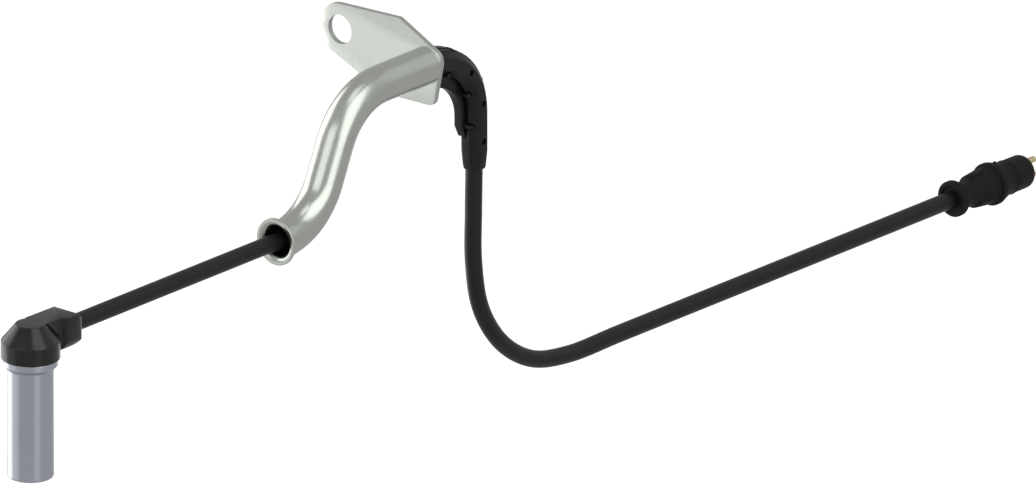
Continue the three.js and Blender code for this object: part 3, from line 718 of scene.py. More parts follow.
@dataclass
class Studio:
    """The camera, the lamps, the even room light and the white floor.

    Attributes:
        azimuth: the camera's direction from the object about Z, in degrees from +X.
        elevation: the camera's height angle, in degrees.
        view_width: the picture's width at the object, in millimetres.
        target: the point at the picture's middle, in the harness frame.
        camera_distance: from the object to the camera, in metres.
        lamp_distance: from the object to each softbox, in metres.
        room_glow: how bright the room is all round, where 1 shows as white.
        floor_shade: the floor's own colour, as a grey.
        floor_drop: how far the floor lies below the tube's axis, in millimetres.
        floor_gap: how far behind the object the floor begins, in metres.
        floor_depth: from there to its far edge, in metres.
        floor_width: in metres.
        floor_glow: added where the floor shows in the picture, in metal or through glass.
    """

    azimuth: float = -139.17
    elevation: float = 20.4
    view_width: float = 353.0
    target: Triple = (47.8, 0.0, -77.8)
    camera_distance: float = 1.5
    lamp_distance: float = 1.8
    room_glow: float = 0.5
    floor_shade: float = 0.85
    floor_drop: float = 300.0
    floor_gap: float = 0.345
    floor_depth: float = 0.6
    floor_width: float = 1.2
    floor_glow: float = 0.42

    def build_camera(self) -> None:
        """Sets an orthographic camera at the photograph's angle."""
        towards = heading(self.azimuth, self.elevation)
        data = bpy.data.cameras.new("camera")
        data.type = "ORTHO"
        data.ortho_scale = self.view_width * MM
        data.clip_end = 20.0
        camera = bpy.data.objects.new("camera", data)
        camera.location = at(*self.target) + towards * self.camera_distance
        camera.rotation_euler = towards.to_track_quat("Z", "Y").to_euler()
        bpy.context.collection.objects.link(camera)
        bpy.context.scene.camera = camera

    def build_lamp(self, box: Softbox) -> None:
        """Adds a lamp.

        Args:
            box: its place, size and brightness.
        """
        towards = heading(box.azimuth, box.elevation)
        data = bpy.data.lights.new(box.name, "AREA")
        data.shape = "RECTANGLE"
        data.size = box.width
        data.size_y = box.height
        data.energy = box.glow * math.pi * box.width * box.height
        lamp = bpy.data.objects.new(box.name, data)
        lamp.location = at(*self.target) + towards * self.lamp_distance
        lamp.rotation_euler = towards.to_track_quat("Z", "Y").to_euler()
        lamp.visible_camera = False
        bpy.context.collection.objects.link(lamp)

    def build_world(self) -> None:
        """Lights the scene evenly from a pale room."""
        world = bpy.data.worlds.new("studio")
        world.use_nodes = True
        background = world.node_tree.nodes["Background"]
        background.inputs["Color"].default_value = (1.0, 1.0, 1.0, 1.0)
        background.inputs["Strength"].default_value = self.room_glow
        bpy.context.scene.world = world

    def build_floor(self) -> None:
        """Lays the white floor that shows behind the object and in its reflections."""
        clear_selection()
        below = at(self.target[0], self.target[1], -self.floor_drop)
        middle = below - heading(self.azimuth, 0) * (self.floor_gap + self.floor_depth / 2)
        turn = math.radians(self.azimuth + 90)
        bpy.ops.mesh.primitive_plane_add(size=self.floor_depth, location=middle, rotation=(0, 0, turn))
        bpy.context.active_object.scale.x = self.floor_width / self.floor_depth
        floor = named("floor")
        material = bpy.data.materials.new("white_floor")
        material.use_nodes = True
        tree = material.node_tree
        shader = tree.nodes["Principled BSDF"]
        shader.inputs["Base Color"].default_value = (*[self.floor_shade] * 3, 1.0)
        shader.inputs["Roughness"].default_value = 0.9
        shader.inputs["Emission Color"].default_value = (1.0, 1.0, 1.0, 1.0)
        path = tree.nodes.new("ShaderNodeLightPath")
        seen = path.outputs["Is Camera Ray"]
        for kind in ("Is Glossy Ray", "Is Transmission Ray"):
            either = tree.nodes.new("ShaderNodeMath")
            either.operation = "MAXIMUM"
            tree.links.new(seen, either.inputs[0])
            tree.links.new(path.outputs[kind], either.inputs[1])
            seen = either.outputs["Value"]
        glow = tree.nodes.new("ShaderNodeMapRange")
        glow.inputs["To Max"].default_value = self.floor_glow
        tree.links.new(seen, glow.inputs["Value"])
        tree.links.new(glow.outputs["Result"], shader.inputs["Emission Strength"])
        floor.data.materials.append(material)

    def build(self) -> None:
        """Sets up the lamps, the world and the floor, and the plain view transform."""
        for box in SOFTBOXES:
            self.build_lamp(box)
        self.build_world()
        self.build_floor()
        bpy.context.scene.view_settings.view_transform = "Standard"


CABLE_ROUTE: tuple[Point, ...] = (
    (-193.3, -42.2), (-185, -42.2), (-160, -42.2), (-130, -42.2), (-100, -42.2), (-84, -42.2), (-76.3, -42.2),
    (-66.8, -40.3), (-58.6, -35), (-53.1, -27.2), (-50.3, -21.1), (-47.5, -15), (-42, -7.2), (-33.9, -1.9),
    (-24.3, 0), (-12, 0), (2, 0), (8, -0.8), (13.5, -3.1), (18.3, -6.7), (21.9, -11.5), (24.2, -17),
    (25, -23), (25, -34), (24.9, -45), (24.6, -60), (24.6, -78), (28.2, -95.9), (39, -111.7),
    (55, -122.2), (74, -125.9),
    (100, -125.9), (140, -125.9), (180, -125.9), (220, -125.9), (255, -125.9), (270, -125.9), (281.7, -125.9),
)


@dataclass
class Cable(SubAssembly):
    """The black jacketed cable, from inside the head to inside the plug.

    Attributes:
        diameter: of the jacket.
        outlet: where it leaves the head, in the harness plane; not used.
        sides: of its section.
        spacing: between the sections along it.
        fineness: how many steps the curve has between two points of the route.
    """

    diameter: float = 6.0
    outlet: Point = (-185.6, -42.2)
    sides: int = 32
    spacing: float = 2.0
    fineness: int = 12

    def centre_line(self) -> list[Vector]:
        """Evenly spaced points on one smooth curve through the route.

        Returns:
            The points, in millimetres in the harness frame.
        """
        knots = [Vector((x, 0.0, z)) for x, z in CABLE_ROUTE]
        fine: list[Vector] = []
        ends = [knots[0] * 2 - knots[1], *knots, knots[-1] * 2 - knots[-2]]
        for before, here, there, after in zip(ends, ends[1:], ends[2:], ends[3:]):
            shares = (i / self.fineness for i in range(self.fineness))
            fine.extend(self.between(before, here, there, after, share) for share in shares)
        fine.append(knots[-1])
        total = sum((b - a).length for a, b in zip(fine, fine[1:]))
        step = total / round(total / self.spacing)
        line = [fine[0]]
        walked, due = 0.0, step
        for a, b in zip(fine, fine[1:]):
            length = (b - a).length
            while walked + length >= due and length > 0:
                line.append(a.lerp(b, (due - walked) / length))
                due += step
            walked += length
        if (line[-1] - fine[-1]).length > step / 2:
            line.append(fine[-1])
        line[-1] = fine[-1]
        return line

    @staticmethod
    def between(before: Vector, here: Vector, there: Vector, after: Vector, share: float) -> Vector:
        """A point between two knots on a curve whose slope at each knot allows for uneven spacing.

        Args:
            before: the knot before the two.
            here: the first knot.
            there: the second knot.
            after: the knot after the two.
            share: how far along, from 0 to 1.

        Returns:
            The point.
        """
        spans = ((before, here), (here, there), (there, after))
        first, middle, last = ((b - a).length ** 0.5 for a, b in spans)
        leave = (here - before) / first - (there - before) / (first + middle) + (there - here) / middle
        arrive = (there - here) / middle - (after - here) / (middle + last) + (after - there) / last
        t = share
        return (
            here * (2 * t**3 - 3 * t**2 + 1)
            + leave * middle * (t**3 - 2 * t**2 + t)
            + there * (3 * t**2 - 2 * t**3)
            + arrive * middle * (t**3 - t**2)
        )

    def build(self) -> bpy.types.Object:
        """Makes the jacket's tube, with a map that runs round it and along it.

        Returns:
            The cable's piece.
        """
        line = self.centre_line()
        vertices: list[Vector] = []
        for i, point in enumerate(line):
            heading = (line[min(i + 1, len(line) - 1)] - line[max(i - 1, 0)]).normalized()
            across = Vector((0.0, 1.0, 0.0))
            above = heading.cross(across)
            for side in range(self.sides):
                turn = 2 * math.pi * side / self.sides
                reach = (across * math.cos(turn) + above * math.sin(turn)) * self.diameter / 2
                vertices.append(at(*(point + reach)))
        rings = len(line) - 1
        faces = [
            tuple(
                ring * self.sides + side % self.sides
                for ring, side in ((r, s), (r, s + 1), (r + 1, s + 1), (r + 1, s))
            )
            for r in range(rings)
            for s in range(self.sides)
        ]
        faces.append(tuple(reversed(range(self.sides))))
        faces.append(tuple(range(rings * self.sides, (rings + 1) * self.sides)))
        mesh = bpy.data.meshes.new("cable")
        mesh.from_pydata(vertices, [], faces)
        chart = mesh.uv_layers.new(name="along")
        girth = math.pi * self.diameter * MM
        for face in mesh.polygons[: rings * self.sides]:
            ring, side = divmod(face.index, self.sides)
            corners = ((side, ring), (side + 1, ring), (side + 1, ring + 1), (side, ring + 1))
            for loop, (s, r) in zip(face.loop_indices, corners):
                chart.data[loop].uv = (girth * s / self.sides, self.spacing * MM * r)
        cable = bpy.data.objects.new("cable", mesh)
        bpy.context.collection.objects.link(cable)
        with editing(cable):
            select_everything()
            bpy.ops.mesh.normals_make_consistent(inside=False)
        smooth(cable, 40)
        return self.hand_over(cable, CABLE_JACKET, "sensor_cable", "cable_jacket")

    def declare(self, cable: bpy.types.Object, plug: Sequence[bpy.types.Object | str]) -> None:
        """Works out the cable's centre line, and does nothing further with it.

        Args:
            cable: the cable's piece; not used.
            plug: the pieces and nodes on its end; not used.
        """
        line = self.centre_line()


@dataclass
class Sensor(SubAssembly):
    """The steel sleeve and the moulded right-angle head, measured from where their axes meet.

    Attributes:
        axis_x: where the axes meet in the harness plane.
        axis_z: the same, upwards.
        sleeve_top: the height of the sleeve's open end, and so of the head's foot.
        sleeve_floor: thickness of the sensing face.
        taper_height: of the cone between the sleeve and its flange.
        shoulder: the height of the edge between the head's collar and its cone.
        head_rounding: of the head's edges.
        arm_depth: from the cable's axis to the arm's underside.
        arm_half_width: half the arm's width where it leaves the sleeve's axis.
        arm_waist: half its width where it is narrowest.
        arm_collar: half its width near the end, on the near side.
        arm_tip: half the width of its flat end, on the near side.
        far_tip: the same on the far side.
        waist_end: where the near side begins to widen.
        collar_start: where it is widest.
        widening: how far the curve between the two holds its direction at either end.
        far_corner: where the far side turns into the end.
        arm_end_round: radius of the end's lower edge.
        arm_top_length: how far the arm's top reaches.
        arm_rounding: of the arm's edges.
        groove: width of the gap between the cone and the arm's sides.
        groove_depth: how far it runs in from either side.
        socket_start: where the cable's socket begins.
    """

    axis_x: float = -206.2
    axis_z: float = -42.2
    sleeve_radius: float = 8.0
    sleeve_bore: float = 7.4
    sleeve_top: float = -6.1
    sleeve_foot: float = -49.1
    sleeve_floor: float = 0.6
    flange_radius: float = 9.5
    flange_height: float = 2.2
    taper_height: float = 1.5
    head_radius: float = 10.2
    head_top_radius: float = 5.2
    head_top: float = 6.4
    shoulder: float = 0.2
    head_rounding: float = 0.5
    arm_length: float = 20.6
    arm_depth: float = 5.2
    arm_half_width: float = 5.0
    arm_waist: float = 4.6
    arm_collar: float = 6.9
    arm_tip: float = 4.0
    far_tip: float = 2.4
    waist_end: float = 9.6
    collar_start: float = 12.8
    widening: Point = (1.6, 2.0)
    far_corner: float = 18.2
    arm_end_round: float = 5.0
    arm_top_length: float = 17.6
    arm_rounding: float = 0.35
    groove: float = 0.25
    groove_depth: float = 0.4
    socket_radius: float = 3.3
    socket_start: float = 12.6

    def place(self, x: float, y: float, z: float) -> Vector:
        """A point measured from where the sleeve's axis meets the cable's."""
        return at(self.axis_x + x, y, self.axis_z + z)

    def spun(self, name: str, profile: Sequence[Point]) -> bpy.types.Object:
        """A solid of revolution about the sleeve's axis."""
        return turned(name, profile, Axis.Z, (self.axis_x, self.axis_z))

    def build_sleeve(self) -> bpy.types.Object:
        """Spins the drawn can: closed foot, taper and flange.

        Returns:
            The sleeve.
        """
        flange_foot = self.sleeve_top - self.flange_height
        inside = self.sleeve_foot + self.sleeve_floor
        profile = filleted([
            (0, self.sleeve_foot, 0),
            (self.sleeve_radius, self.sleeve_foot, 1.0),
            (self.sleeve_radius, flange_foot - self.taper_height, 0.8),
            (self.flange_radius, flange_foot, 0.7),
            (self.flange_radius, self.sleeve_top, 0.35),
            (self.sleeve_bore, self.sleeve_top, 0.1),
            (self.sleeve_bore, inside, 0.3),
            (0, inside, 0),
        ], 6)
        sleeve = self.spun("sleeve", profile)
        smooth(sleeve)
        return self.hand_over(sleeve, SLEEVE_STEEL, "sensor_sleeve", "sleeve_steel")

    @staticmethod
    def ease(start: Point, leave: Point, arrive: Point, end: Point, steps: int = 10) -> list[Point]:
        """A smooth curve between two points.

        Args:
            start: its first point.
            leave: what it heads for there.
            arrive: what it comes from at its end.
            end: its last point.
            steps: how many steps it has.

        Returns:
            Its points, both ends included.
        """
        points = []
        for i in range(steps + 1):
            t = i / steps
            weights = ((1 - t) ** 3, 3 * t * (1 - t) ** 2, 3 * t**2 * (1 - t), t**3)
            points.append(tuple(
                sum(weight * knot[axis] for weight, knot in zip(weights, (start, leave, arrive, end)))
                for axis in (0, 1)
            ))
        return points

    def arm_plan(self) -> list[Point]:
        """The arm's outline from above: a collar on the near side and a straight far side.

        Returns:
            Its points (x, y).
        """
        waist, collar, length = self.arm_waist, self.arm_collar, self.arm_length
        leave, arrive = self.widening
        near = [(0.0, self.arm_half_width)]
        near += self.ease(
            (self.waist_end, waist), (self.waist_end + leave, waist),
            (self.collar_start - arrive, collar), (self.collar_start, collar),
        )
        near += self.ease(
            (self.collar_start, collar), (self.arm_top_length, collar),
            (length, collar), (length, self.arm_tip),
        )[1:]
        corner = (length, waist)
        far = [(0.0, self.arm_half_width)]
        far += self.ease((self.far_corner, waist), corner, corner, (length, self.far_tip), 8)
        return [(x, -y) for x, y in near] + far[::-1]

    def arm_side(self) -> list[Point]:
        """The arm's outline from the side: a round lower edge, and an end that leans back to the top.

        Returns:
            Its points (x, z).
        """
        foot, top, length = -self.arm_depth, self.head_top, self.arm_length
        centre = (length - self.arm_end_round, foot + self.arm_end_round)
        handle = (length, (centre[1] + top) / 2)
        return [
            (0.0, foot),
            *arc(centre, self.arm_end_round, -90, 0, 20),
            *self.ease((length, centre[1]), handle, handle, (self.arm_top_length, top), 12)[1:],
            (0.0, top),
        ]

    def arm_section(self) -> list[Point]:
        """The arm's outline from its end: upright sides and a round underside.

        Returns:
            Its points (y, z).
        """
        radius, side = self.arm_collar + 0.1, self.arm_collar + CUT_OVER
        under = math.degrees(math.asin(self.arm_depth / radius))
        return [
            (-side, self.head_top),
            *arc((0, 0), radius, 180, 180 + under, 8),
            *arc((0, 0), radius, 360 - under, 360, 8),
            (side, self.head_top),
        ]

    def build_arm(self) -> bpy.types.Object:
        """Makes the outlet arm, which is where its three views overlap.

        Returns:
            The closed solid.
        """
        foot, side = -self.arm_depth, self.arm_collar + CUT_OVER
        plan = [self.place(x, y, foot) for x, y in self.arm_plan()]
        arm = slab("arm", plan, Vector((0, 0, self.head_top - foot)) * MM)
        outline = [self.place(x, -side, z) for x, z in self.arm_side()]
        section = [self.place(0, y, z) for y, z in self.arm_section()]
        views = [
            slab("side_view", outline, Vector((0, 2 * side, 0)) * MM),
            slab("end_view", section, Vector((self.arm_length + CUT_OVER, 0, 0)) * MM),
        ]
        combine(arm, views, Cut.WITHIN)
        round_edges(arm, self.arm_rounding, 40, 3)
        return arm

    def groove_cutter(self) -> bpy.types.Object:
        """Makes a skin round the cone and collar that is open where the arm runs into them.

        Returns:
            The closed solid that the arm is cut with.
        """
        wide, top = self.head_radius + self.groove, self.head_top + self.groove
        skin = self.spun("groove", [
            (0, self.sleeve_top), (wide, self.sleeve_top), (wide, self.shoulder),
            (self.head_top_radius + self.groove, top), (0, top),
        ])
        length = wide + 2 * CUT_OVER
        clear_selection()
        bpy.ops.mesh.primitive_cube_add(size=MM, location=self.place(length / 2 - CUT_OVER, 0, 0))
        core = bpy.context.active_object
        core.scale = (length, 2 * (self.arm_waist - self.groove_depth), 2 * self.head_radius)
        combine(skin, [named("core")], Cut.AWAY)
        return skin

    def build_head(self) -> bpy.types.Object:
        """Spins the cone and collar and joins the outlet arm on, with a groove between the two.

        Returns:
            The head.
        """
        head = self.spun("head", filleted([
            (0, self.sleeve_top, 0),
            (self.head_radius, self.sleeve_top, self.head_rounding),
            (self.head_radius, self.shoulder, self.head_rounding),
            (self.head_top_radius, self.head_top, self.head_rounding),
            (0, self.head_top, 0),
        ], 6))
        arm = self.build_arm()
        combine(arm, [self.groove_cutter()], Cut.AWAY)
        combine(head, [arm], Cut.ONTO)
        start, end = self.socket_start, self.arm_length + CUT_OVER
        socket = bar("socket", self.socket_radius, self.place(start, 0, 0), self.place(end, 0, 0))
        combine(head, [socket], Cut.AWAY)
        smooth(head)
        return self.hand_over(head, HEAD_PLASTIC, "sensor_head", "head_plastic")

    def build(self) -> None:
        """Builds both pieces."""
        self.build_sleeve()
        self.build_head()


@dataclass
class Bracket(SubAssembly):
    """The bent guide tube and the plate that it is joined to.

    Attributes:
        tube_radius: outside radius of the tube.
        wall: of the tube.
        bend_radius: of both bends, at the tube's middle.
        bend_angle: of both bends, in degrees.
        rise: from the mouth's axis to the plate's.
        mouth_straight: before the first bend.
        plate_straight: after the second bend.
        lip_radius: of the flared mouth.
        lip_wall: of the mouth's lip.
        flare_depth: along the tube.
        thickness: of the plate.
        hole_centre: of the bolt hole, (y, z) from the tube's axis.
        eye_radius: of the plate's end round the bolt hole.
        top_corner: the plate's upper corner before it is rounded, (y, z) from the tube's axis.
        foot_corner: its lower corner on the same side.
        bore_radius: of the way through for the elbow's neck.
        edge_break: rounding of the plate's edges.
        painted_shade_edge_normal: faces whose normal has less than this along the tube are the plate's edge
            faces, which get a darker copy of its metal as painted shade.
    """

    tube_radius: float = 6.6
    wall: float = 1.1
    bend_radius: float = 25.5
    bend_angle: float = 65.6
    rise: float = 42.2
    mouth_straight: float = 2.6
    plate_straight: float = 24.3
    lip_radius: float = 8.4
    lip_wall: float = 0.9
    flare_depth: float = 2.5
    thickness: float = 2.0
    hole_centre: Point = (38.9, 3.5)
    hole_radius: float = 5.25
    eye_radius: float = 9.3
    top_corner: Point = (12.5, 14.1)
    foot_corner: Point = (19.5, -15.0)
    bore_radius: float = 4.75
    edge_break: float = 0.25
    painted_shade_edge_normal: float = 0.5

    def draw_along(self, towards_mouth: bool) -> None:
        """Extrudes the selected ring along the tube's two bends.

        Args:
            towards_mouth: from the plate to the mouth, or else from the mouth to the plate.
        """
        turn = math.radians(self.bend_angle)
        run = self.bend_radius * math.sin(turn)
        climb = self.bend_radius * (1 - math.cos(turn))
        ahead = Vector((math.cos(turn), 0, math.sin(turn))) * (self.rise - 2 * climb) / math.sin(turn)
        upper = at(-self.plate_straight, 0, -self.bend_radius)
        lower = at(-self.plate_straight - 2 * run - ahead.x, 0, self.bend_radius - self.rise)
        to_flare = Vector((self.mouth_straight - self.flare_start, 0, 0))
        straights = [Vector((self.plate_straight, 0, 0)), ahead, to_flare]
        bends = [(upper, turn), (lower, -turn)]
        way = -1
        if not towards_mouth:
            way = 1
            straights.reverse()
            bends.reverse()
        push(straights[0] * way * MM)
        for straight, (centre, angle) in zip(straights[1:], bends):
            bpy.ops.mesh.spin(steps=22, angle=-way * angle, center=centre, axis=(0, 1, 0))
            push(straight * way * MM)

    def mouth_profile(self) -> list[Point]:
        """The flare and its lip, from the tube's outside round to its bore.

        Returns:
            Points (radius, distance from the mouth's plane).
        """
        turns = [math.pi / 20 * i for i in range(11)]
        flare = [(math.sin(turn), 1 - math.cos(turn)) for turn in turns]
        depth, lip = self.flare_depth, self.lip_radius
        bore = self.tube_radius - self.wall
        draw_in = lip - self.tube_radius
        outside = [(lip - draw_in * out, self.lip_wall + depth * back) for out, back in flare]
        lip -= self.lip_wall
        inside = [(lip - (lip - bore) * out, depth * back) for out, back in flare]
        edges = [(*outside[0], 0), (self.lip_radius, 0, 0.35), (*inside[0], 0.2), (*inside[1], 0)]
        rim = filleted(edges, 4)
        to_bore = [*inside[1:], (bore, self.flare_start)]
        return [*reversed(outside), *rim[1:-1], *to_bore]

    @property
    def flare_start(self) -> float:
        """How far behind the mouth's plane the flare begins."""
        return self.lip_wall + self.flare_depth

    def build_tube(self) -> bpy.types.Object:
        """Draws the wall's outside from the plate to the mouth, round the lip, and its bore back again.

        Returns:
            The tube.
        """
        clear_selection()
        bpy.ops.mesh.primitive_circle_add(
            vertices=96, radius=self.tube_radius * MM, location=at(0, 0, 0), rotation=(0, math.pi / 2, 0))
        tube = named("guide_tube_wall")
        profile = self.mouth_profile()
        with editing(tube, "EDGE"):
            select_everything()
            self.draw_along(True)
            for (radius, place), (wider, further) in zip(profile, profile[1:]):
                push(Vector((further - place, 0, 0)) * MM)
                ratio = wider / radius
                bpy.ops.transform.resize(value=(1, ratio, ratio), center_override=at(0, 0, -self.rise))
            self.draw_along(False)
            plate = at(0, 0, 0).x
            pick_edges(tube, lambda end: abs(end.x - plate) < SAME_PLACE)
            bpy.ops.mesh.bridge_edge_loops()
            close_up()
        smooth(tube)
        return self.hand_over(tube, TUBE_METAL, "guide_tube", "tube_metal")

    def plate_outline(self) -> list[Point]:
        """The plate's outline: an eye round the bolt hole and a body with four rounded corners.

        Returns:
            The outline's points, (y, z) from the tube's axis.
        """
        eye = Vector(self.hole_centre)
        top = self.touch(eye, Vector(self.top_corner), -1)
        foot = self.touch(eye, Vector(self.foot_corner), 1)
        turns = [math.degrees(math.atan2(*(point - eye).yx)) for point in (foot, top)]
        line = arc(self.hole_centre, self.eye_radius, turns[0], turns[1], 40)
        body = filleted([
            (*top, 0), (*self.top_corner, 2.0), (-7.0, 4.4, 5.0), (-3.3, -14.4, 3.5),
            (*self.foot_corner, 8.0), (*foot, 0),
        ], 10)
        return line + body[1:-1]

    def touch(self, centre: Vector, corner: Vector, side: int) -> Vector:
        """Finds where a line from a corner touches the eye.

        Args:
            centre: of the eye.
            corner: where the line starts.
            side: 1 or -1, for the touching point on either side.

        Returns:
            The point.
        """
        reach = corner - centre
        turn = math.atan2(reach.y, reach.x) + side * math.acos(self.eye_radius / reach.length)
        return centre + Vector((math.cos(turn), math.sin(turn))) * self.eye_radius

    def build_plate(self) -> bpy.types.Object:
        """Cuts the plate out, breaks its edges, drills the bolt hole and the elbow's bore, and paints shade
        on its edge faces.

        Returns:
            The plate.
        """
        points = [at(0, y, z) for y, z in self.plate_outline()]
        plate = slab("plate", points, Vector((self.thickness, 0, 0)) * MM)
        round_edges(plate, self.edge_break, 50, 2)
        drills = [
            bar("drill", radius, at(-CUT_OVER, y, z), at(self.thickness + CUT_OVER, y, z), 96)
            for radius, y, z in ((self.hole_radius, *self.hole_centre), (self.bore_radius, 0.0, 0.0))
        ]
        combine(plate, drills, Cut.AWAY)
        smooth(plate, 25)
        self.hand_over(plate, PLATE_METAL, "bracket_plate", "plate_metal")
        # The edge faces get the darker copy of the plate's metal: painted shade on the plate's edges.
        plate.data.materials.append(self.paints.material(PLATE_EDGE_PAINTED_SHADE))
        for face in plate.data.polygons:
            if abs(face.normal.x) < self.painted_shade_edge_normal:
                face.material_index = 1
        return plate

    def build(self) -> None:
        """Builds both pieces."""
        self.build_tube()
        self.build_plate()


@dataclass
class Elbow(SubAssembly):
    """The clip-on elbow: a near shell with its boot, and a far cover with its latch pegs.

    Attributes:
        bend_start: where the bend begins, behind the plate's front.
        bend_radius: at the cable's middle.
        plate_back: where both halves end, behind the plate's front.
        half_width: of the shell's eight-sided section.
        flat: half the width of one of its sides.
        cover_half_width: of the cover's section.
        cover_inner: from the leg's axis to the cover's inner side.
        cover_chamfer: along the cover's far side.
        gusset_radius: of the cover's inner bend.
        gusset_drop: how far its middle lies below the shell's.
        leg_length: of the straight part above the boot.
        end_slant: height of the slanted end of the cover's inner side.
        channel_radius: of the way through for the cable.
        seam_gap: left between the two halves.
        edge_rounding: of both halves' edges.
        inner_peg: how far out from the middle line the inner pegs are, and how far they cross the seam.
        outer_peg: the same of the outer pegs.
        peg_stations: how far along the middle line the pegs are.
        dimple_stations: the same of the dimples.
    """

    bend_start: float = 2.0
    bend_radius: float = 23.0
    plate_back: float = 2.3
    half_width: float = 4.4
    flat: float = 1.82
    cover_half_width: float = 4.6
    cover_inner: float = 6.3
    cover_chamfer: float = 2.3
    gusset_radius: float = 15.2
    gusset_drop: float = 2.2
    leg_length: float = 9.2
    end_slant: float = 4.0
    boot_straight: float = 5.4
    boot_taper: float = 5.9
    boot_end: float = 3.85
    boot_chamfer: float = 0.8
    channel_radius: float = 3.3
    seam_gap: float = 0.3
    edge_rounding: float = 0.3
    peg_radius: float = 0.9
    peg_root: float = 1.2
    pocket_gap: float = 0.5
    pocket_root: float = 1.0
    inner_peg: Point = (-4.5, 3.1)
    outer_peg: Point = (4.0, 1.7)
    peg_stations: tuple[float, ...] = (8.2, 27.0, 41.0)
    dimple_stations: tuple[float, ...] = (18.5, 33.2, 47.0)
    dimple_radius: float = 1.15
    dimple_depth: float = 0.9

    @property
    def leg_x(self) -> float:
        """Where the leg's axis is."""
        return self.bend_start + self.bend_radius

    def along(self, distance: float) -> Triple:
        """The place and heading at a distance along the elbow's middle line.

        Args:
            distance: from the plate's back.

        Returns:
            x, z and the turn from the tube's direction, in radians.
        """
        quarter = self.bend_radius * math.pi / 2
        if distance > quarter:
            return self.leg_x, quarter - distance - self.bend_radius, math.pi / 2
        turn = distance / self.bend_radius
        return (
            self.bend_start + self.bend_radius * math.sin(turn),
            self.bend_radius * (math.cos(turn) - 1),
            turn,
        )

    def pegs(self, gap: float, root: float) -> list[bpy.types.Object]:
        """Round bars across the seam, for the pegs or for the recesses that they snap into.

        Args:
            gap: added round each peg.
            root: how far each bar reaches into the cover.

        Returns:
            The bars.
        """
        bars = []
        for station in self.peg_stations:
            x, z, turn = self.along(station)
            for out, reach in (self.inner_peg, self.outer_peg):
                px, pz = x + out * math.sin(turn), z + out * math.cos(turn)
                peg = bar("peg", self.peg_radius + gap, at(px, -reach - gap, pz), at(px, root, pz), 24)
                round_edges(peg, 0.35, 50, 3)
                bars.append(peg)
        return bars

    def round_bend(self, steps: int, drop: float) -> None:
        """Turns the selection round the bend and runs it down the leg.

        Args:
            steps: how many steps the bend has.
            drop: how far down it runs, in millimetres.
        """
        centre = at(self.bend_start, 0, -self.bend_radius)
        bpy.ops.mesh.spin(steps=steps, angle=-math.pi / 2, center=centre, axis=(0, 1, 0))
        push(Vector((0, 0, -drop)) * MM)

    def channel(self) -> bpy.types.Object:
        """Makes the round way through the elbow that the cable runs in.

        Returns:
            The closed solid that the halves are cut with.
        """
        clear_selection()
        bpy.ops.mesh.primitive_circle_add(
            vertices=48, radius=self.channel_radius * MM, location=at(-CUT_OVER, 0, 0),
            rotation=(0, math.pi / 2, 0), fill_type="NGON",
        )
        way = named("channel")
        with editing(way):
            select_everything()
            push(Vector((self.bend_start + CUT_OVER, 0, 0)) * MM)
            self.round_bend(24, 40.0)
            close_up()
        return way

    def build_shell(self) -> bpy.types.Object:
        """Spins the eight-sided half round the bend, adds the leg and the boot, and cuts the details.

        Returns:
            The near half.
        """
        w, f, seam = self.half_width, self.flat, -self.seam_gap / 2
        section = [(-w, seam), (-w, -f), (-f, -w), (f, -w), (w, -f), (w, seam)]
        shell = outlined("near_shell", [at(self.bend_start, y, out) for out, y in section])
        with editing(shell):
            select_everything()
            self.round_bend(14, self.leg_length + CUT_OVER)
            select_everything()
            bpy.ops.mesh.bisect(
                plane_co=at(self.plate_back, 0, 0), plane_no=(1, 0, 0), clear_inner=True, use_fill=True)
            close_up()
        round_edges(shell, self.edge_rounding, 30, 3)
        combine(shell, [self.boot()], Cut.ONTO)
        dimples = []
        for station in self.dimple_stations:
            x, z, _ = self.along(station)
            foot = at(x, self.dimple_depth - w, z)
            dimples.append(bar("dimple", self.dimple_radius, at(x, -w - CUT_OVER, z), foot, 32))
        pockets = self.pegs(self.pocket_gap, self.pocket_root)
        combine(shell, [self.channel(), *pockets, *dimples], Cut.AWAY)
        smooth(shell)
        return self.hand_over(shell, ELBOW_PLASTIC, "elbow_shell", "elbow_plastic")

    def boot(self) -> bpy.types.Object:
        """Draws the eight-sided boot down from the cover and in towards the cable.

        Returns:
            The closed solid.
        """
        top = -self.bend_radius - self.leg_length
        to_corner = 1 / math.cos(math.pi / 8)
        clear_selection()
        bpy.ops.mesh.primitive_circle_add(
            vertices=8, radius=self.half_width * to_corner * MM,
            location=at(self.leg_x, 0, top - self.seam_gap), rotation=(0, 0, math.pi / 8), fill_type="NGON",
        )
        boot = named("boot")
        stages = (
            (self.half_width, self.boot_straight - self.seam_gap),
            (self.boot_end, self.boot_taper),
            (self.boot_end - 0.4, self.boot_chamfer),
        )
        with editing(boot):
            select_everything()
            width, height = self.half_width, top - self.seam_gap
            for wide, deep in stages:
                height -= deep
                push(Vector((0, 0, -deep)) * MM)
                bpy.ops.transform.resize(
                    value=(wide / width, wide / width, 1), center_override=at(self.leg_x, 0, height))
                width = wide
            close_up()
        round_edges(boot, self.edge_rounding, 15, 3)
        return boot

    def cover_outline(self) -> list[Point]:
        """Draws the cover's side view: outer bend, slanted end, inner bend and gusset.

        Returns:
            Its points (x, z).
        """
        outer = self.bend_radius + self.cover_half_width
        foot = -self.bend_radius - self.leg_length
        inner_x = self.leg_x - self.cover_inner
        drop = -self.bend_radius - self.gusset_drop
        line = arc((self.bend_start, -self.bend_radius), outer, 90, 0, 28)
        line[0] = (self.plate_back, line[0][1])
        line += [(self.leg_x + self.cover_half_width, foot), (self.leg_x - self.half_width, foot)]
        line += [(inner_x, foot + self.end_slant)]
        bend = arc((inner_x - self.gusset_radius, drop), self.gusset_radius, 0, 90, 24)
        line += [point for point in bend if point[0] > self.plate_back]
        line += [(self.plate_back, bend[-1][1])]
        return line

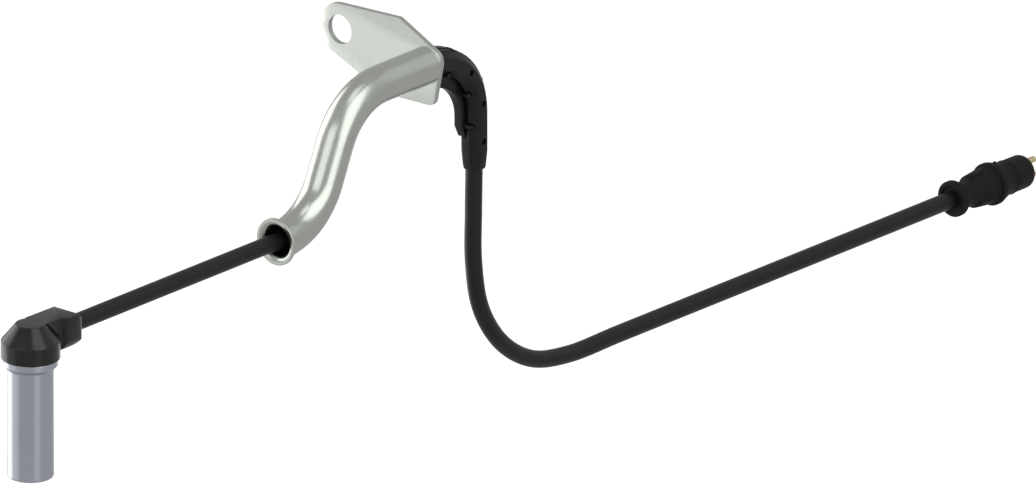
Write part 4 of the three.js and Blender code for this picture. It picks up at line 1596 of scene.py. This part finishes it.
    def build_cover(self) -> bpy.types.Object:
        """Cuts the cover's side view out of a block, chamfers its far side and adds the latch pegs.

        Returns:
            The far half.
        """
        points = [at(x, self.seam_gap / 2, z) for x, z in self.cover_outline()]
        depth = self.cover_half_width - self.seam_gap / 2
        cover = slab("far_cover", points, Vector((0, depth, 0)) * MM)
        far = at(0, self.cover_half_width, 0).y
        with editing(cover, "EDGE"):
            pick_edges(cover, lambda end: end.y > far - SAME_PLACE)
            bpy.ops.mesh.bevel(
                offset=self.cover_chamfer * MM, offset_type="WIDTH", segments=1, affect="EDGES",
                clamp_overlap=True,
            )
        round_edges(cover, self.edge_rounding, 30, 3)
        combine(cover, [self.channel()], Cut.AWAY)
        combine(cover, self.pegs(0.0, self.peg_root), Cut.ONTO)
        smooth(cover)
        return self.hand_over(cover, ELBOW_PLASTIC, "elbow_cover", "elbow_plastic")

    def build(self) -> None:
        """Builds both halves."""
        self.build_shell()
        self.build_cover()


@dataclass
class Plug(SubAssembly):
    """The round plug on the cable's end, its stations measured from its rear face.

    Attributes:
        rear_x: where its rear face is in the harness plane.
        drop: from the tube's axis down to the plug's.
        front: station of the barrel's front.
        nose_round: of the barrel's front edge.
        pin_length: how far the pins stand out of the front.
        pin_gap: round each pin in its hole.
        lug_start: station where the grip lugs begin.
        lug_end: station where they end.
        lug_width: their width across.
        lug_lean: how far they are turned about the plug's axis, in degrees.
        key_station: of the middle of the round key.
        key_top: from the plug's axis to the key's top.
        seal_station: of the middle of the seal ring.
        seal_radius: from the plug's axis to the middle of the ring's section.
        seal_section: radius of that section.
    """

    rear_x: float = 273.4
    drop: float = 125.9
    front: float = 38.8
    nose_round: float = 2.9
    pin_spacing: float = 5.2
    pin_radius: float = 1.15
    pin_length: float = 5.1
    pin_gap: float = 0.3
    lug_start: float = 10.4
    lug_end: float = 16.4
    lug_width: float = 6.4
    lug_lean: float = 27.0
    key_station: float = 22.8
    key_radius: float = 0.65
    key_top: float = 7.4
    seal_station: float = 28.6
    seal_radius: float = 5.5
    seal_section: float = 0.62

    def spun(self, name: str, profile: Sequence[Point]) -> bpy.types.Object:
        """A solid of revolution about the plug's axis."""
        return turned(name, profile, Axis.X, (self.rear_x, -self.drop))

    def lugs(self) -> bpy.types.Object:
        """Makes the two grip lugs as one bar across the plug.

        Returns:
            The closed solid.
        """
        start, end = self.lug_start, self.lug_end
        lugs = self.spun("lugs", [(0, start), (5.8, start), (6.4, end), (0, end)])
        clear_selection()
        bpy.ops.mesh.primitive_cube_add(
            size=MM, location=at(self.rear_x + (start + end) / 2, 0, -self.drop),
            rotation=(-math.radians(self.lug_lean), 0, 0),
        )
        bpy.context.active_object.scale = (end - start + 4 * CUT_OVER, self.lug_width, 16.0)
        combine(lugs, [named("lug_span")], Cut.WITHIN)
        round_edges(lugs, 0.4, 40, 3)
        return lugs

    def build_body(self) -> bpy.types.Object:
        """Spins the overmould, adds the grip lugs and the key, and bores it for the cable and the barrel.

        Returns:
            The plug's body.
        """
        body = self.spun("plug_overmould", filleted([
            (0, 0.7, 0), (4.2, 0.7, 0.2), (4.7, 0, 0.3), (5.9, 0, 0.5), (6.35, 0.6, 0.5), (6.35, 2.3, 0.6),
            (5.2, 3.2, 0.6), (4.65, 6.4, 2.5), (5.0, 10.4, 2.0), (6.5, 19.4, 0.3), (7.5, 19.4, 0.3),
            (7.5, 21.0, 0.3), (6.15, 25.2, 0.3), (0, 25.2, 0),
        ], 5))
        key_x = self.rear_x + self.key_station
        foot, top = at(key_x, 0, 4.0 - self.drop), at(key_x, 0, self.key_top - self.drop)
        key = bar("key", self.key_radius, foot, top)
        round_edges(key, 0.25, 50, 3)
        combine(body, [self.lugs(), key], Cut.ONTO)
        bores = self.spun("plug_bores", [
            (0, -1), (3.1, -1), (3.1, 9.8), (4.4, 9.8), (4.4, 17.7), (5.3, 17.7), (5.3, 26.0), (0, 26.0),
        ])
        combine(body, [bores], Cut.AWAY)
        smooth(body)
        return self.hand_over(body, PLUG_RUBBER, "plug_body", "plug_rubber")

    def build_insert(self) -> bpy.types.Object:
        """Spins the barrel with its seal groove and rounded nose, and drills the pin holes.

        Returns:
            The barrel.
        """
        barrel = self.spun("plug_barrel", filleted([
            (0, 18.0, 0), (5.0, 18.0, 0.2), (5.0, 25.3, 0), (6.0, 25.3, 0.15), (6.0, 27.85, 0.15),
            (5.0, 27.85, 0), (5.0, 29.35, 0), (5.9, 29.35, 0.15), (5.9, 35.3, 0),
            *((*point, 0) for point in self.nose()), (0, self.front, 0),
        ], 5))
        start, end = self.rear_x + 17, self.rear_x + self.front + CUT_OVER
        holes = [
            bar("pin_hole", self.pin_radius + self.pin_gap, at(start, 0, z), at(end, 0, z))
            for z in self.pin_heights()
        ]
        combine(barrel, holes, Cut.AWAY)
        smooth(barrel)
        return self.hand_over(barrel, INSERT_PLASTIC, "plug_insert", "insert_plastic")

    def nose(self) -> list[Point]:
        """The rounded nose, as (radius, station) points."""
        centre = (self.front - self.nose_round, 3.0)
        return [(y, x) for x, y in arc(centre, self.nose_round, 90, 0, 12)][1:]

    def pin_heights(self) -> tuple[float, float]:
        """The heights of the upper and lower pin."""
        return (self.pin_spacing / 2 - self.drop, -self.pin_spacing / 2 - self.drop)

    def build_seal(self) -> bpy.types.Object:
        """Spins the seal ring.

        Returns:
            The ring.
        """
        section = arc((self.seal_station, self.seal_radius), self.seal_section, 0, 360, 20)
        seal = self.spun("seal_ring", [(radius, station) for station, radius in section])
        smooth(seal)
        return self.hand_over(seal, SEAL_RUBBER, "plug_seal", "seal_rubber")

    def build_pin(self, name: str, node: str, height: float) -> bpy.types.Object:
        """Spins one contact pin with its shoulder and rounded tip.

        Args:
            name: the piece's name.
            node: that it stands for.
            height: of its axis.

        Returns:
            The pin's piece.
        """
        tip = self.front + self.pin_length
        end = [(r, s) for s, r in arc((tip - self.pin_radius, 0), self.pin_radius, 90, 0, 8)]
        profile = [
            (0, 17.1), (1.1, 17.1), (1.1, 13.1), (1.5, 13.1), (1.5, 21.0), (self.pin_radius, 21.0), *end[:-1],
            (0, tip),
        ]
        pin = turned(name, profile, Axis.X, (self.rear_x, height), 48)
        smooth(pin)
        return self.hand_over(pin, PIN_BRASS, node, "brass")

    def build(self) -> list[bpy.types.Object | str]:
        """Builds the plug's pieces.

        Returns:
            The pieces on the cable's end, with the nodes that are shown as they are.
        """
        upper, lower = self.pin_heights()
        return [
            self.build_body(),
            self.build_insert(),
            self.build_seal(),
            self.build_pin("upper_pin", "contact_pin_a", upper),
            self.build_pin("lower_pin", "contact_pin_b", lower),
            "plug_core_a",
            "plug_core_b",
        ]


def dress_inner_pieces(frame: dict, paints: Paints) -> None:
    """Gives the pieces inside the sleeve and the plug their finishes.

    Args:
        paints: the finishes' store.
    """
    for name, finish in INNER_FINISHES.items():
        paints.coat_node(frame["nodes"][name], finish)
        LOG.info("%s: kept, %s", name, finish.name)


def main() -> None:
    """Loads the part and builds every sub-assembly in order."""
    logging.basicConfig(level=logging.INFO, format="%(name)s: %(message)s")
    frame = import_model()
    paints = Paints()
    studio = Studio()
    studio.build_camera()
    cord = Cable(paints)
    cable = cord.build()
    plug = Plug(paints).build()
    cord.declare(cable, plug)
    Sensor(paints).build()
    Bracket(paints).build()
    Elbow(paints).build()
    dress_inner_pieces(frame, paints)
    studio.build()


if __name__ == "__main__":
    main()
